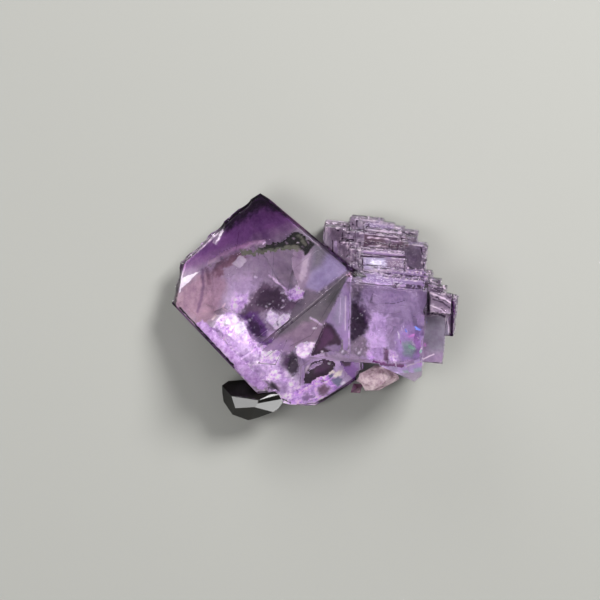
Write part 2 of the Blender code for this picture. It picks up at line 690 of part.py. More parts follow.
def main():
    for obj in list(bpy.data.objects):
        bpy.data.objects.remove(obj)
    specimen = bpy.data.objects.new("specimen", None)
    bpy.context.scene.collection.objects.link(specimen)
    black = new_material("black_sphalerite", BLACK, BRIGHT, SPHALERITE_IOR)
    brown = new_material("brown_sphalerite", BROWN, BRIGHT, SPHALERITE_IOR)
    pale = new_material("pale_matrix", PALE, GRAINY, MATRIX_IOR)
    frosted = new_material("frosted_fluorite", LILAC, FROSTED, FLUORITE_IOR)
    nodes = [
        build_fluorite(specimen),
        build_druse(specimen, frosted),
        add_object("black_sphalerite", cut_crystal(black_faces()), specimen, black),
        add_object("brown_sphalerite", cut_crystal(brown_faces()), specimen, brown),
        add_object("matrix_crumb", crumb(), specimen, pale),
    ]
    centre_on_origin(specimen, nodes)


main()
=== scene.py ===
import math
import random

import bmesh
import bpy
import numpy as np
from mathutils import Matrix, Vector, noise
from mathutils.bvhtree import BVHTree


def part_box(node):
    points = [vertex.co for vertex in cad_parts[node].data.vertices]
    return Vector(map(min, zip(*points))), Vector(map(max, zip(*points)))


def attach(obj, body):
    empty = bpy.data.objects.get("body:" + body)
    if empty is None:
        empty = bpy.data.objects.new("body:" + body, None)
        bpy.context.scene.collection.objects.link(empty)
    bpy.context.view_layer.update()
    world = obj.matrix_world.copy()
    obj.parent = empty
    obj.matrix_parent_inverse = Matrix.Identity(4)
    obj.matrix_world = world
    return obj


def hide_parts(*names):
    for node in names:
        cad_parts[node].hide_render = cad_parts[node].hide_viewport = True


# Lengths are in millimetres in the drawing frame of the solids, whose plan origin lies at
# DRAWING_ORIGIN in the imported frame. Meshes are moved and scaled to metres when they become
# pieces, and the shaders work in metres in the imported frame.
MM = 0.001
DRAWING_ORIGIN = Vector((-1.507, -0.289, 0.0))
Z_AXIS = Vector((0, 0, 1))
ABOVE, BELOW = 30, -1  # heights clear of the specimen, that rays start from
# The photo looks straight down: its pixels in a millimetre, and its pixel at the plan origin.
PHOTO_SCALE = 9.6
PHOTO_ORIGIN = (300, 310)
FLUORITE_IOR = 1.434

# Corners of the great crystal and of its cleaved front.
APEX = Vector((-4.19, 12.48, 6.0))
PEAK = Vector((5.29, 4.27, 13.5))
RIDGE_END = Vector((-7.07, -5.88, 9.0))
LOWER_CORNER = Vector((1.69, -10.15, 2.7))
FRONT_NORMAL = Vector((-0.130, -0.280, 0.951))
BEVEL_FOOT = Vector((0.98, -4.85, 7.34))
BEVEL_TOP = Vector((5.08, -4.58, 10.86))
# Its outline from above.
GREAT_PLAN = (
    (-4.19, 12.48), (5.29, 4.27), (4.4, -6.2), (7.67, -5.99), (1.69, -10.18), (-4.08, -9.15),
    (-7.07, -5.88), (-13.50, 0.67), (-12.60, 5.05), (-8.41, 8.95),
)
# The axes of the cluster's cubes.
LATTICE = (
    Matrix.Rotation(math.radians(-6), 3, "Z")
    @ Matrix.Rotation(math.radians(-6), 3, "Y")
    @ Matrix.Rotation(math.radians(17), 3, "X")
).transposed()
CLUSTER_WAY = (0.6, 0.8, 0.0)  # from the great crystal to the cluster

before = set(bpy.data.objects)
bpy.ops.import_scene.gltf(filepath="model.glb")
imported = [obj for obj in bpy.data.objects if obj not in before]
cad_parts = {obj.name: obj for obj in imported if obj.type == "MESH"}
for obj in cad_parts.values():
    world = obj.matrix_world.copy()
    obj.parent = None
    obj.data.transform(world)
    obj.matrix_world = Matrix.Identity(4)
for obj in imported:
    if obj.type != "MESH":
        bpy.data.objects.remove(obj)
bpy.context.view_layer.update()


# ---------------------------------------------------------------- places and pieces


def to_frame(point):
    """A place in the drawing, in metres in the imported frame."""
    return (Vector(point) + DRAWING_ORIGIN) * MM


def on_plan(pixels, digits=2):
    """Places in plan from the photo's pixels, their x and y in turn."""
    left, top = PHOTO_ORIGIN
    across = (round((x - left) / PHOTO_SCALE, digits) for x in pixels[::2])
    return tuple(zip(across, (round((top - y) / PHOTO_SCALE, digits) for y in pixels[1::2])))


def in_mm(pixels, digits=2):
    """A width in the photo, or None, in millimetres."""
    return None if pixels is None else round(pixels / PHOTO_SCALE, digits)


def piece(name, bm, material):
    """A piece of the specimen from a bmesh in the drawing frame."""
    bm.transform(Matrix.Scale(MM, 4) @ Matrix.Translation(DRAWING_ORIGIN))
    mesh = bpy.data.meshes.new(name)
    bm.to_mesh(mesh)
    bm.free()
    obj = bpy.data.objects.new(name, mesh)
    bpy.context.scene.collection.objects.link(obj)
    obj.data.materials.append(material)
    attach(obj, "root")
    return obj


def face_through(a, b, c):
    """A face as a point on it and its upward normal."""
    normal = (b - a).cross(c - a).normalized()
    return a, normal if normal.z > 0 else -normal


# The faces that the inside is seen through from above.
FACES = {
    "left": face_through(APEX, PEAK, RIDGE_END),
    "right": face_through(PEAK, RIDGE_END, LOWER_CORNER),
    "bevel": face_through(PEAK, BEVEL_FOOT, BEVEL_TOP),
    "front": (PEAK, FRONT_NORMAL.normalized()),
}


def height_on(face, x, y):
    point, normal = face
    return point.z - (normal.x * (x - point.x) + normal.y * (y - point.y)) / normal.z


def sight_shift(face):
    """How far a sight line that comes straight down on a face leads off in plan, per depth."""
    normal = face[1]
    ratio = 1 / FLUORITE_IOR
    cos_out = math.sqrt(1 - ratio**2 * (1 - normal.z**2))
    line = (-Z_AXIS * ratio + normal * (ratio * normal.z - cos_out)).normalized()
    return line.x / -line.z, line.y / -line.z


# ---------------------------------------------------------------- fields over the plan


def line_distance(px, py, points):
    """Distances of plan points to a bent line."""
    nearest = np.full(px.shape, 1e9)
    for (ax, ay), (bx, by) in zip(points, points[1:]):
        dx, dy = bx - ax, by - ay
        share = np.clip(((px - ax) * dx + (py - ay) * dy) / (dx * dx + dy * dy), 0, 1)
        nearest = np.minimum(nearest, np.hypot(px - ax - share * dx, py - ay - share * dy))
    return nearest


def outline_distance(px, py, outline):
    """Distances of plan points to a closed outline, above 0 inside it."""
    inside = np.zeros(px.shape, bool)
    for (ax, ay), (bx, by) in zip(outline, outline[1:] + outline[:1]):
        if ay != by:
            inside ^= ((ay > py) != (by > py)) & (px < ax + (py - ay) / (by - ay) * (bx - ax))
    nearest = line_distance(px, py, outline + outline[:1])
    return np.where(inside, nearest, -nearest)


def reach_into(px, py, points, radius):
    """How far plan points lie inside an outline, or inside a line where it has a radius."""
    if radius is None:
        return outline_distance(px, py, points)
    return radius - line_distance(px, py, points)


def smooth(low, high, value):
    t = np.clip((value - low) / (high - low), 0, 1)
    return t * t * (3 - 2 * t)


def blend(tint, colour, share):
    """Tints moved towards a colour by each point's share."""
    return tint + (np.array(colour) - tint) * share[:, None]


def fractal(px, py, scale, seed, octaves=5):
    """Noise at plan points, that differs from seed to seed."""
    offset = Vector((seed * 17.3, seed * 5.1, seed))
    roughness, lacunarity = 0.8, 2.1
    return np.array([
        noise.fractal(Vector((x, y, 0)) * scale + offset, roughness, lacunarity, octaves)
        for x, y in zip(px, py)
    ])


# ---------------------------------------------------------------- shader nodes


class Shader:
    """A material's nodes. An input is fed a number, a colour or another node's output."""

    def __init__(self, name):
        self.material = bpy.data.materials.new(name)
        self.material.use_nodes = True
        self.nodes = self.material.node_tree.nodes
        self.bsdf = self.nodes["Principled BSDF"]

    def feed(self, socket, value):
        if isinstance(value, (int, float)):
            socket.default_value = value
        elif isinstance(value, tuple):
            socket.default_value = (*value, 1)
        else:
            self.material.node_tree.links.new(value, socket)

    def surface(self, name, value):
        self.feed(self.bsdf.inputs[name], value)

    def add(self, kind, fed=(), **settings):
        """A new node with its settings, and with values fed to inputs by their name or number."""
        node = self.nodes.new("ShaderNode" + kind)
        for name, setting in settings.items():
            setattr(node, name, setting)
        for key, value in dict(fed).items():
            self.feed(node.inputs[key], value)
        return node

    def coords(self):
        return self.add("TexCoord").outputs["Object"]

    def attribute(self, name, output):
        return self.add("Attribute", attribute_name=name).outputs[output]

    def ramp(self, value, stops):
        """Colours for rising values, each stop a position and a colour."""
        node = self.add("ValToRGB", {"Fac": value})
        elements = node.color_ramp.elements
        while len(elements) > 1:
            elements.remove(elements[-1])
        elements[0].position, elements[0].color = stops[0][0], (*stops[0][1], 1)
        for position, colour in stops[1:]:
            elements.new(position).color = (*colour, 1)
        return node.outputs["Color"]

    def noise(self, coords, scale, detail, roughness):
        fed = {"Vector": coords, "Scale": scale, "Detail": detail, "Roughness": roughness}
        return self.add("TexNoise", fed).outputs["Fac"]

    def cells(self, coords, scale, metric):
        """Distances to the middles of cells; they are square where the metric is CHEBYCHEV."""
        return self.add("TexVoronoi", {"Vector": coords, "Scale": scale}, distance=metric).outputs["Distance"]

    def maths(self, operation, *values):
        return self.add("Math", enumerate(values), operation=operation).outputs[0]

    def dot(self, coords, direction):
        node = self.add("VectorMath", {0: coords}, operation="DOT_PRODUCT")
        node.inputs[1].default_value = direction
        return node.outputs["Value"]

    def fade(self, value, low, high, start=0.0, end=1.0):
        """Leads smoothly from start to end as the value passes from low to high."""
        fed = enumerate((value, low, high, start, end))
        return self.add("MapRange", fed, interpolation_type="SMOOTHSTEP").outputs[0]

    def mix(self, factor, a, b, blend_type="MIX"):
        node = self.add("Mix", data_type="RGBA", blend_type=blend_type)
        for name, value in (("Factor", factor), ("A", a), ("B", b)):
            self.feed([i for i in node.inputs if i.name == name and i.enabled][0], value)
        return [o for o in node.outputs if o.enabled][0]

    def bump(self, height, strength, distance):
        """Bumps on the surface, with the distance in metres."""
        node = self.add("Bump", {"Height": height, "Strength": strength, "Distance": distance})
        self.surface("Normal", node.outputs["Normal"])


# ---------------------------------------------------------------- clear fluorite

ZONE_NORMAL = Vector((-0.349, 0.937, 0.0))  # the purple zone thickens towards the apex
ZONE_START = 7.7  # distance along it at which the colour begins
ZONE_DEPTH = 5.0  # from there to the apex
ZONE_WOBBLE = 1.6  # how far its start wanders
ZONE_COLOURS = (
    (0.0, (0.99, 0.97, 0.99)),
    (0.12, (0.68, 0.43, 0.72)),
    (0.28, (0.33, 0.12, 0.42)),
    (0.55, (0.25, 0.08, 0.33)),
    (0.85, (0.16, 0.055, 0.21)),
)
# Edges along which the fluorite's glass is darkened by painted shade: dark reflections along the great
# crystal's rims and shade in the cluster's clefts and crevices; start and end in plan, and how wide.
PAINTED_SHADE_COLOUR = (0.06, 0.02, 0.07)
PAINTED_SHADE_EDGES = (
    ((-4.2, 12.5), (5.3, 4.3), 0.42),
    ((-4.2, 12.5), (-7.0, 10.3), 0.28),
    ((-13.4, 0.6), (-7.0, -5.9), 0.22),
    ((7.4, -6.1), (1.7, -10.2), 0.26),
    ((4.95, 4.35), (6.5, 3.55), 0.40),
    ((13.12, 2.3), (13.25, -0.3), 0.20),
    ((6.4, 5.62), (10.85, 5.52), 0.10),
    ((6.3, 2.75), (11.9, 2.2), 0.09),
    ((15.7, 1.3), (15.7, -2.8), 0.2),
)
# Where the edge is chipped, the purple zone is broken away; along the upper-left rim it is taken off for a
# painted highlight, so that the pale marks under it show.
CHIP_AND_HIGHLIGHT_COLOUR = (0.97, 0.93, 0.98)
CHIP_AND_HIGHLIGHT_EDGES = (((-8.1, 8.5), (-8.9, 7.1), 0.35), ((-8.1, 8.6), (-12.4, 5.0), 0.3))
EDGE_CORE = 0.45  # the part of an edge's width that has its full shade
EDGE_OVERRUN = 0.2  # how far its shade runs on past its ends
INNER_COLOUR, INNER_DENSITY = (0.66, 0.46, 0.76), 26.0
CLUSTER_TINGE, CLUSTER_TINGE_SHARE = (0.60, 0.44, 0.68), 0.2
CLUSTER_START, CLUSTER_FADE = 7.5, 1.5  # along CLUSTER_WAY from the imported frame's origin
# Growth steps on the cluster: how many cells to a metre, and the height of a step in them.
LARGE_STEPS, SMALL_STEPS, SMALL_SHARE = (620, 0.11), (1700, 0.2), 0.35
STEP_STRENGTH, STEP_DEPTH = 0.9, 0.4
POCKET_REACH = 1.0  # the pocket's faces lie no further than this from the druse
# The normal rises at least this much on the druse's upper side, and at most this much on the base.
UPWARD, DOWNWARD = 0.3, -0.99
CUBE_MATCH = 0.9995  # least agreement of a cube face's normal with a lattice axis
ON_FLOOR, WELD = 1e-6, 1e-7  # metres within which a face is on the floor, and corners are one
FLAT_ANGLE = math.radians(0.3)  # faces that meet at less than this become one


def edge_shade(shader, coords, start, end, width):
    """1 along a line in plan, fading to 0 at its width and past its ends."""
    a, b = to_frame((*start, 0)), to_frame((*end, 0))
    along = (b - a).normalized()
    across = Vector((-along.y, along.x, 0))
    side = shader.maths("SUBTRACT", shader.dot(coords, across), a.dot(across))
    away = shader.maths("DIVIDE", shader.maths("ABSOLUTE", side), width * MM)
    run = shader.maths("SUBTRACT", shader.dot(coords, along), a.dot(along))
    before = shader.maths("GREATER_THAN", run, -EDGE_OVERRUN * MM)
    after = shader.maths("LESS_THAN", run, (b - a).length + EDGE_OVERRUN * MM)
    shade = shader.fade(away, EDGE_CORE, 1.0, 1.0, 0.0)
    return shader.maths("MULTIPLY", shade, shader.maths("MULTIPLY", before, after))


def zone_colour(shader, coords):
    """Nearly clear, and purple in the zone at the apex."""
    start = to_frame(ZONE_NORMAL * ZONE_START).dot(ZONE_NORMAL) + ZONE_WOBBLE / 2 * MM
    cloud = shader.noise(coords, scale=420, detail=5.0, roughness=0.55)
    wobble = shader.maths("MULTIPLY", cloud, ZONE_WOBBLE * MM)
    zone = shader.maths("ADD", shader.maths("SUBTRACT", shader.dot(coords, ZONE_NORMAL), start), wobble)
    return shader.ramp(shader.maths("DIVIDE", zone, ZONE_DEPTH * MM), ZONE_COLOURS)


def growth_steps(shader, coords):
    """Heights of square growth steps along the cluster's axes, large and small."""
    lattice = shader.add("CombineXYZ", enumerate(shader.dot(coords, axis) for axis in LATTICE))
    large, small = (
        shader.maths("SNAP", shader.cells(lattice.outputs["Vector"], scale, "CHEBYCHEV"), height)
        for scale, height in (LARGE_STEPS, SMALL_STEPS)
    )
    return shader.maths("MULTIPLY_ADD", small, SMALL_SHARE, large)


def fluorite_material():
    shader = Shader("fluorite_glass")
    coords = shader.coords()
    colour = zone_colour(shader, coords)
    # Painted shade along the dark edges; along the pale ones the zone is taken off for a chip and for a
    # painted highlight on the upper-left rim.
    for edges, edge_colour in ((PAINTED_SHADE_EDGES, PAINTED_SHADE_COLOUR), (CHIP_AND_HIGHLIGHT_EDGES, CHIP_AND_HIGHLIGHT_COLOUR)):
        for start, end, width in edges:
            colour = shader.mix(edge_shade(shader, coords, start, end, width), colour, edge_colour)
    past_start = shader.maths("SUBTRACT", shader.dot(coords, CLUSTER_WAY), CLUSTER_START * MM)
    cluster = shader.fade(past_start, 0.0, CLUSTER_FADE * MM)
    tinge = shader.maths("MULTIPLY", cluster, CLUSTER_TINGE_SHARE)
    shader.surface("Base Color", shader.mix(tinge, colour, CLUSTER_TINGE))
    shader.surface("Roughness", 0.0)
    shader.surface("Transmission Weight", 1.0)
    shader.surface("IOR", FLUORITE_IOR)
    strength = shader.maths("MULTIPLY", cluster, STEP_STRENGTH)
    shader.bump(growth_steps(shader, coords), strength, STEP_DEPTH * MM)
    inside = shader.add("VolumeAbsorption", {"Color": INNER_COLOUR, "Density": INNER_DENSITY})
    shader.feed(shader.nodes["Material Output"].inputs["Volume"], inside.outputs["Volume"])
    return shader.material


def is_outside(face):
    """Whether a face is on the base or on one of the cluster's cubes."""
    on_base = face.normal.z < DOWNWARD and abs(face.calc_center_median().z) < ON_FLOOR
    return on_base or any(abs(face.normal.dot(axis)) > CUBE_MATCH for axis in LATTICE)


def without_pocket(bm):
    """Takes out the druse's pocket, so that the clear fluorite closes around the druse."""
    bm.faces.ensure_lookup_table()
    tree = BVHTree.FromBMesh(bm)
    queue = []
    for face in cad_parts["frosted_druse"].data.polygons:
        if face.normal.z > UPWARD:
            index = tree.ray_cast(face.center, face.normal, POCKET_REACH * MM)[2]
            if index is not None:
                queue.append(bm.faces[index])
    pocket = set()
    while queue:
        face = queue.pop()
        if face not in pocket:
            pocket.add(face)
            beside = (other for edge in face.edges for other in edge.link_faces)
            queue += [other for other in beside if other not in pocket and not is_outside(other)]
    bmesh.ops.delete(bm, geom=list(pocket), context="FACES")
    bmesh.ops.holes_fill(bm, edges=[edge for edge in bm.edges if edge.is_boundary])


def fluorite_body():
    """The clear fluorite, closed around the druse."""
    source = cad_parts["fluorite_crystal"]
    obj = source.copy()
    obj.data = source.data.copy()
    obj.name = obj.data.name = "fluorite_body"
    bpy.context.scene.collection.objects.link(obj)
    bm = bmesh.new()
    bm.from_mesh(obj.data)
    bmesh.ops.remove_doubles(bm, verts=bm.verts, dist=WELD)
    without_pocket(bm)
    bmesh.ops.dissolve_limit(bm, angle_limit=FLAT_ANGLE, verts=bm.verts, edges=bm.edges)
    bmesh.ops.recalc_face_normals(bm, faces=bm.faces)
    for flat in (*bm.faces, *bm.edges):
        flat.smooth = False
    bm.to_mesh(obj.data)
    bm.free()
    obj.data.materials.clear()
    obj.data.materials.append(fluorite_material())
    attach(obj, "root")
    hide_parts("fluorite_crystal")
    return obj


# ---------------------------------------------------------------- colours and places of the frosted parts

# Colours of the druse. Some of the marks have them too.
DUSTY = (0.40, 0.34, 0.41)
ROSE = (0.40, 0.27, 0.32)
PALE = (0.42, 0.33, 0.42)
LILAC = (0.60, 0.48, 0.66)
LAVENDER = (0.35, 0.28, 0.41)
LAVENDER_FRONT = (0.43, 0.35, 0.50)
FROST = (0.97, 0.85, 1.0)
SNOW = (1.0, 1.0, 1.0)
VIOLET_FROST = (0.90, 0.69, 1.0)
GREIGE = (0.28, 0.24, 0.27)
SMOKE = (0.10, 0.08, 0.11)
DUSK = (0.14, 0.09, 0.14)
PLUM = (0.12, 0.05, 0.15)
AMETHYST = (0.16, 0.06, 0.25)
NIGHT = (0.022, 0.008, 0.024)
# the darkest colour: the apex zone and the inclusion band, and painted shade along the edges and where the
# crystals meet
COAL = (0.010, 0.009, 0.009)
BRICK = (0.20, 0.10, 0.13)
MAROON = (0.12, 0.045, 0.09)
PEACH = (0.90, 0.76, 0.74)
ORCHID = (0.36, 0.17, 0.48)
IRIS = (0.58, 0.44, 0.74)
PINK = (0.75, 0.40, 0.85)
JADE = (0.28, 0.42, 0.36)
# TEAL and GLINT are a painted reflection and a painted glint
TEAL = (0.16, 0.19, 0.28)
GLINT = (1.0, 1.0, 0.80)
BLOOM = (0.80, 0.64, 0.90)
# Colours of the lamellae and marks, which get more light; among them are painted highlights, glints and
# shade.
MIST = (0.23, 0.165, 0.235)
VIOLET_VEIL = (0.22, 0.175, 0.30)
GREY_VEIL = (0.13, 0.115, 0.14)
PALE_VEIL = (0.38, 0.30, 0.38)
BEVEL_VEIL = (0.40, 0.27, 0.51)
MOSS_VEIL = (0.10, 0.10, 0.075)
STREAK = (0.55, 0.42, 0.58)
PLATE_VEIL = (0.36, 0.30, 0.37)
GLASSY = (0.37, 0.31, 0.46)
# a painted highlight on the cluster's window
GLOW = (0.42, 0.38, 0.52)
SHELF = (0.31, 0.22, 0.37)
# mostly painted glints and highlights, and the white of a chip
SNOW_SKIN = (0.85, 0.80, 0.85)
FROST_SKIN = (0.66, 0.52, 0.72)
LILAC_SKIN = (0.36, 0.24, 0.42)
# pale lines: mostly painted highlights along edges and steps, and painted glints; CHALK also draws a chip and
# a frosted lamella
CHALK = (0.74, 0.64, 0.72)
CHALK_DIM = (0.38, 0.30, 0.38)
# STONE is a painted highlight along the ridge; INK draws dark lines, mostly painted shade along edges and in
# crevices
STONE = (0.32, 0.30, 0.31)
INK = (0.035, 0.018, 0.04)
GRAPE = (0.10, 0.03, 0.13)
MAGENTA = (0.20, 0.04, 0.20)
BEVEL_SKIN = (0.52, 0.40, 0.62)
# painted shade in the wedge beside the ridge, and near the peak
WEDGE_SHADE = (0.17, 0.145, 0.17)
SHADE_VEIL = (0.075, 0.07, 0.075)
MAUVE_VEIL = (0.29, 0.20, 0.28)
DARK_VEIL = (0.055, 0.028, 0.052)
WINE_VEIL = (0.11, 0.045, 0.11)
ORCHID_VEIL = (0.30, 0.15, 0.42)
SNOW_VEIL = (0.92, 0.80, 0.92)
CRUST_VEIL = (0.52, 0.36, 0.60)
# the brightest part of that painted highlight
GLOW_HEART = (0.66, 0.63, 0.72)
LENS = (0.26, 0.20, 0.31)
LEDGE = (0.27, 0.195, 0.34)
BLUE_SPOT = (0.22, 0.30, 0.80)
PINK_SPOT = (0.62, 0.25, 0.62)
GREEN_SPOT = (0.20, 0.36, 0.28)
# painted shade under the ridge
RIDGE_SHADE = (0.10, 0.075, 0.105)
UMBER = (0.13, 0.08, 0.11)
ROSE_VEIL = (0.42, 0.33, 0.38)
HAZE_VEIL = (0.17, 0.13, 0.175)
# a painted highlight along the cluster's step edges
RIM = (0.58, 0.49, 0.57)
LEDGE_RIGHT = (0.36, 0.28, 0.36)
LEDGE_DIM = (0.20, 0.15, 0.21)
FAN_SKIN = (0.25, 0.17, 0.31)
SMOKE_SKIN = (0.205, 0.18, 0.23)
PALE_SKIN = (0.28, 0.20, 0.31)

# Broad forms on the druse by the face that they are seen through, measured in the photo's pixels as
# all of these are: their colour and opacity, how soft and how ragged their edge is, how far they
# rise in millimetres, and their outlines.
FORMS = {}
FORMS["left"] = (
    (DUSTY, 1, 10, 4, 0, (165, 190, 360, 262, 352, 300, 235, 372, 160, 310)),
    (LILAC, 0.75, 9, 5, 0, (222, 300, 228, 280, 246, 274, 262, 286, 250, 296, 236, 314)),
    (ROSE, 0.95, 5, 3, 0, (168, 304, 182, 285, 202, 272, 218, 268, 226, 286, 214, 318, 200, 328, 184, 314)),
    (PALE, 0.8, 4, 3, 0, (206, 266, 224, 250, 240, 243, 264, 240, 264, 246, 246, 250, 228, 258, 212, 268)),
    (BRICK, 0.9, 3, 4, 0, (212, 272, 215.2, 260, 226, 256, 242, 250.8, 244, 256, 232, 264, 222, 272,
     216, 276)),
    (DUSTY, 0.9, 6, 3, 0, (250, 262, 300, 252, 312, 272, 302, 288, 270, 276)),
    (GREIGE, 0.7, 4, 3, 0, (272, 262, 292, 266, 292, 280, 280, 282)),
    (DUSK, 0.95, 3, 3, -0.25, (258, 288, 264, 282, 280, 287, 288, 300, 304, 300, 302, 310, 288, 313, 278, 312,
     262, 312, 252, 318, 238, 318, 242, 304, 252, 296)),
    (NIGHT, 0.75, 3, 3, -0.2, (262, 288, 278, 290, 284, 302, 282, 309, 266, 309, 256, 306, 258, 296)),
    (AMETHYST, 0.95, 2.5, 3, -0.25, (238, 316, 254, 312, 262, 320, 267, 330, 265, 342, 261, 347, 256, 338,
     246, 330, 243, 322)),
    (NIGHT, 0.8, 2, 2.5, -0.1, (246, 318, 254, 320, 262, 328, 262, 340, 257, 337, 250, 328)),
    (FROST, 0.95, 2, 3, 0.1, (198, 330, 212, 327, 218, 317, 228, 313, 236, 313, 239.2, 320, 247, 322,
     247, 332, 257, 340, 262, 350, 250, 366, 262, 384, 240, 380)),
    (FROST, 0.85, 2.5, 3, 0, (227, 313, 230, 300, 236, 295, 247, 293, 248, 301, 240, 311)),
    (SNOW, 1, 0.8, 1.5, 0.4, (265, 322, 265, 316, 270, 311, 276, 312, 279, 317, 277, 323, 278, 330, 273, 329,
     270, 324)),
    (SNOW, 1, 0.8, 1.5, 0.35, (279, 318, 285, 314, 292, 317, 291, 323, 285, 327, 280, 330, 278, 325)),
    (SNOW, 0.9, 1.2, 2, 0.3, (233, 328, 236, 323, 243, 322, 246, 327, 244, 334, 240, 336, 235, 333)),
    (SNOW, 0.6, 1.5, 2, 0.2, (222, 325, 226, 316, 236, 315, 237, 321, 228, 327)),
    (FROST, 0.95, 1.2, 1.5, 0.2, (286, 291, 300, 285, 305, 290, 304, 298, 296, 301, 287, 298)),
    (LILAC, 0.8, 3, 2, 0, (262, 350, 268, 332, 280, 331, 285, 333, 272, 345)),
    (ORCHID, 0.45, 3, 6, 0, (230, 336, 240, 338, 250, 348, 252, 358, 242, 356, 232, 346)),
    (ORCHID, 0.4, 2, 5, 0, (214, 326, 222, 328, 226, 336, 218, 336)),
    # apex side
    (COAL, 0.9, 4, 3, 0, (262, 190, 245, 200, 225, 218, 212, 232, 228, 230, 262, 207, 300, 221, 316, 238)),
)
FORMS["right"] = (
    (LILAC, 1, 6, 3, 0, (352, 270, 235, 368, 262, 398, 290, 408, 318, 408, 374, 370)),
    (FROST, 0.9, 4, 3, 0.1, (236, 368, 268, 346, 286, 334, 294, 340, 292, 352, 284, 362, 288, 376, 300, 384,
     302, 392, 290, 408, 262, 398)),
    (NIGHT, 0.9, 2, 2.5, -0.3, (286, 356, 292, 352, 297, 357, 300, 366, 298, 374, 292, 376, 287, 370,
     284, 362)),
    (PLUM, 0.7, 3, 2.5, 0, (280, 352, 288, 345, 290, 356, 286, 372, 280, 364)),
    (VIOLET_FROST, 0.95, 1.5, 2, 0.1, (288, 408, 298, 390, 311, 383, 320, 378, 333, 377, 336, 384, 342, 388,
     330, 398, 316, 408)),
    (ORCHID, 0.45, 3, 6, 0, (250, 368, 262, 362, 272, 366, 268, 374, 256, 376)),
    (ORCHID, 0.4, 3, 5, 0, (272, 384, 284, 382, 290, 392, 280, 398)),
    (MAROON, 0.9, 2.5, 2, 0, (318, 390, 325, 385, 331, 390, 329, 397, 320, 398)),
    (AMETHYST, 0.7, 2, 2.5, 0, (304, 396, 310, 393.2, 315, 398, 310, 404, 304, 403)),
    # a painted glint: yellow, with a painted teal reflection and a white point beside it
    (GLINT, 1, 0.8, 0.6, 0, (334, 376, 336, 372, 343, 370.8, 342, 376, 336, 378)),
    (TEAL, 0.9, 1.2, 1, 0, (332, 381, 338, 377, 343, 380, 343, 386, 338, 389)),
    (SNOW, 0.9, 0.8, 0.8, 0, (342, 384, 346, 383, 345, 387, 342, 387)),
    (DUSK, 0.8, 2, 2, 0, (250, 384, 262, 382, 274, 385, 280, 391, 271, 398, 261, 400)),
)
FORMS["bevel"] = (
    (LAVENDER, 1, 3, 1.5, 0, (352, 268, 336, 302, 322, 330, 330, 360, 350, 358, 352, 320)),
)
FORMS["front"] = (
    (LAVENDER_FRONT, 1, 6, 4, 0, (350, 272, 430, 276, 460, 300, 455, 340, 400, 382, 374, 370, 346, 356)),
    (PALE, 0.9, 3, 3, 0, (428, 278, 445, 284, 458, 298, 458, 345, 448, 352, 428, 346),
     (322, 215, 352, 212, 360, 232, 358, 264, 334, 262)),
    (SMOKE, 0.75, 4, 3, 0, (352, 278, 360, 284, 362, 300, 352, 302)),
    (NIGHT, 0.95, 2.5, 3, -0.2, (351, 304, 357, 301, 363, 308, 368, 318, 368, 326, 364, 335, 358, 341,
     351, 346, 349, 330)),
    (PLUM, 0.6, 3, 3, 0, (360, 306, 368, 308, 372, 318, 368, 326, 362, 314)),
    (GREIGE, 0.95, 2, 2, 0, (351, 343, 359.2, 337, 368, 338, 373, 348, 371, 356, 360, 358, 349, 354)),
    (BLOOM, 0.9, 2.5, 3, 0.1, (366, 336, 370, 325, 373, 312, 386, 316, 388, 340, 386, 362, 376, 362, 371, 352,
     368, 343)),
    (FROST, 0.9, 1.5, 2, 0.15, (366, 352, 371, 350, 376, 358, 374, 362, 368, 359)),
    (FROST, 0.8, 2, 2, 0.05, (390, 350, 396, 350, 400, 362, 396, 369.2, 390, 368)),
    (IRIS, 0.9, 5, 2, 0, (398, 332, 408, 324, 420, 324, 430, 334, 432, 350, 424, 360, 404, 362, 398, 350)),
    (PINK, 0.75, 3, 2.5, 0, (406, 334, 418, 334, 426, 346, 420, 356, 414, 344)),
    (JADE, 0.9, 3, 2, 0, (404, 344, 412, 341, 418, 350, 412, 358, 404, 354)),
    (GREIGE, 0.9, 3, 2, 0, (424, 316, 432, 313, 446, 317, 446, 335, 440, 345, 432, 350, 428, 334)),
    (MAROON, 0.85, 1.2, 1, 0, (384.8, 348, 389, 350, 389, 363, 384.8, 362)),
    (DUSTY, 0.9, 3, 3, 0, (404, 366, 432, 354, 420, 374, 404, 380)),
)

# Thin lines and white points on it, with a radius and without a rise.
LINES = (
    ("left", PLUM, 0.6, 1.4, 1.2, 0.8, (201, 270, 202, 284, 200, 300, 196, 312)),
    ("left", MAROON, 0.6, 1.8, 1.2, 0.8, (205, 268, 207, 275, 208, 283)),
    ("left", PEACH, 0.8, 0.9, 0.8, 0.8, (212, 319, 219, 311, 224, 304)),
    ("left", SNOW, 0.95, 1, 0.7, 0.8, (255, 276.5, 256, 277)),
    ("left", SNOW, 0.95, 1, 0.6, 0.6, (283, 300.5, 283.5, 301)),
    ("left", SNOW, 0.95, 0.9, 0.6, 0.6, (266, 306.5, 266.5, 307)),
    ("left", SNOW, 0.9, 0.6, 0.6, 0.5, (269, 304, 270, 304), (281, 293, 283, 293), (281, 308, 283, 307)),
    ("left", SNOW, 0.95, 0.9, 0.6, 0.5, (249, 320.5, 249.5, 321)),
    ("left", SNOW, 0.8, 0.6, 0.6, 0.5, (253, 335, 254, 335)),
    ("front", SNOW, 0.9, 1.2, 0.7, 0.5, (359, 354, 360, 353)),
)


def on_surface(*marks):
    """Marks in the fluorite, from the photo's pixels to millimetres in plan."""
    return tuple(
        (colour, in_mm(radius), in_mm(soft), in_mm(ragged), on_plan(points))
        for colour, radius, soft, ragged, *shapes in marks
        for points in shapes
    )
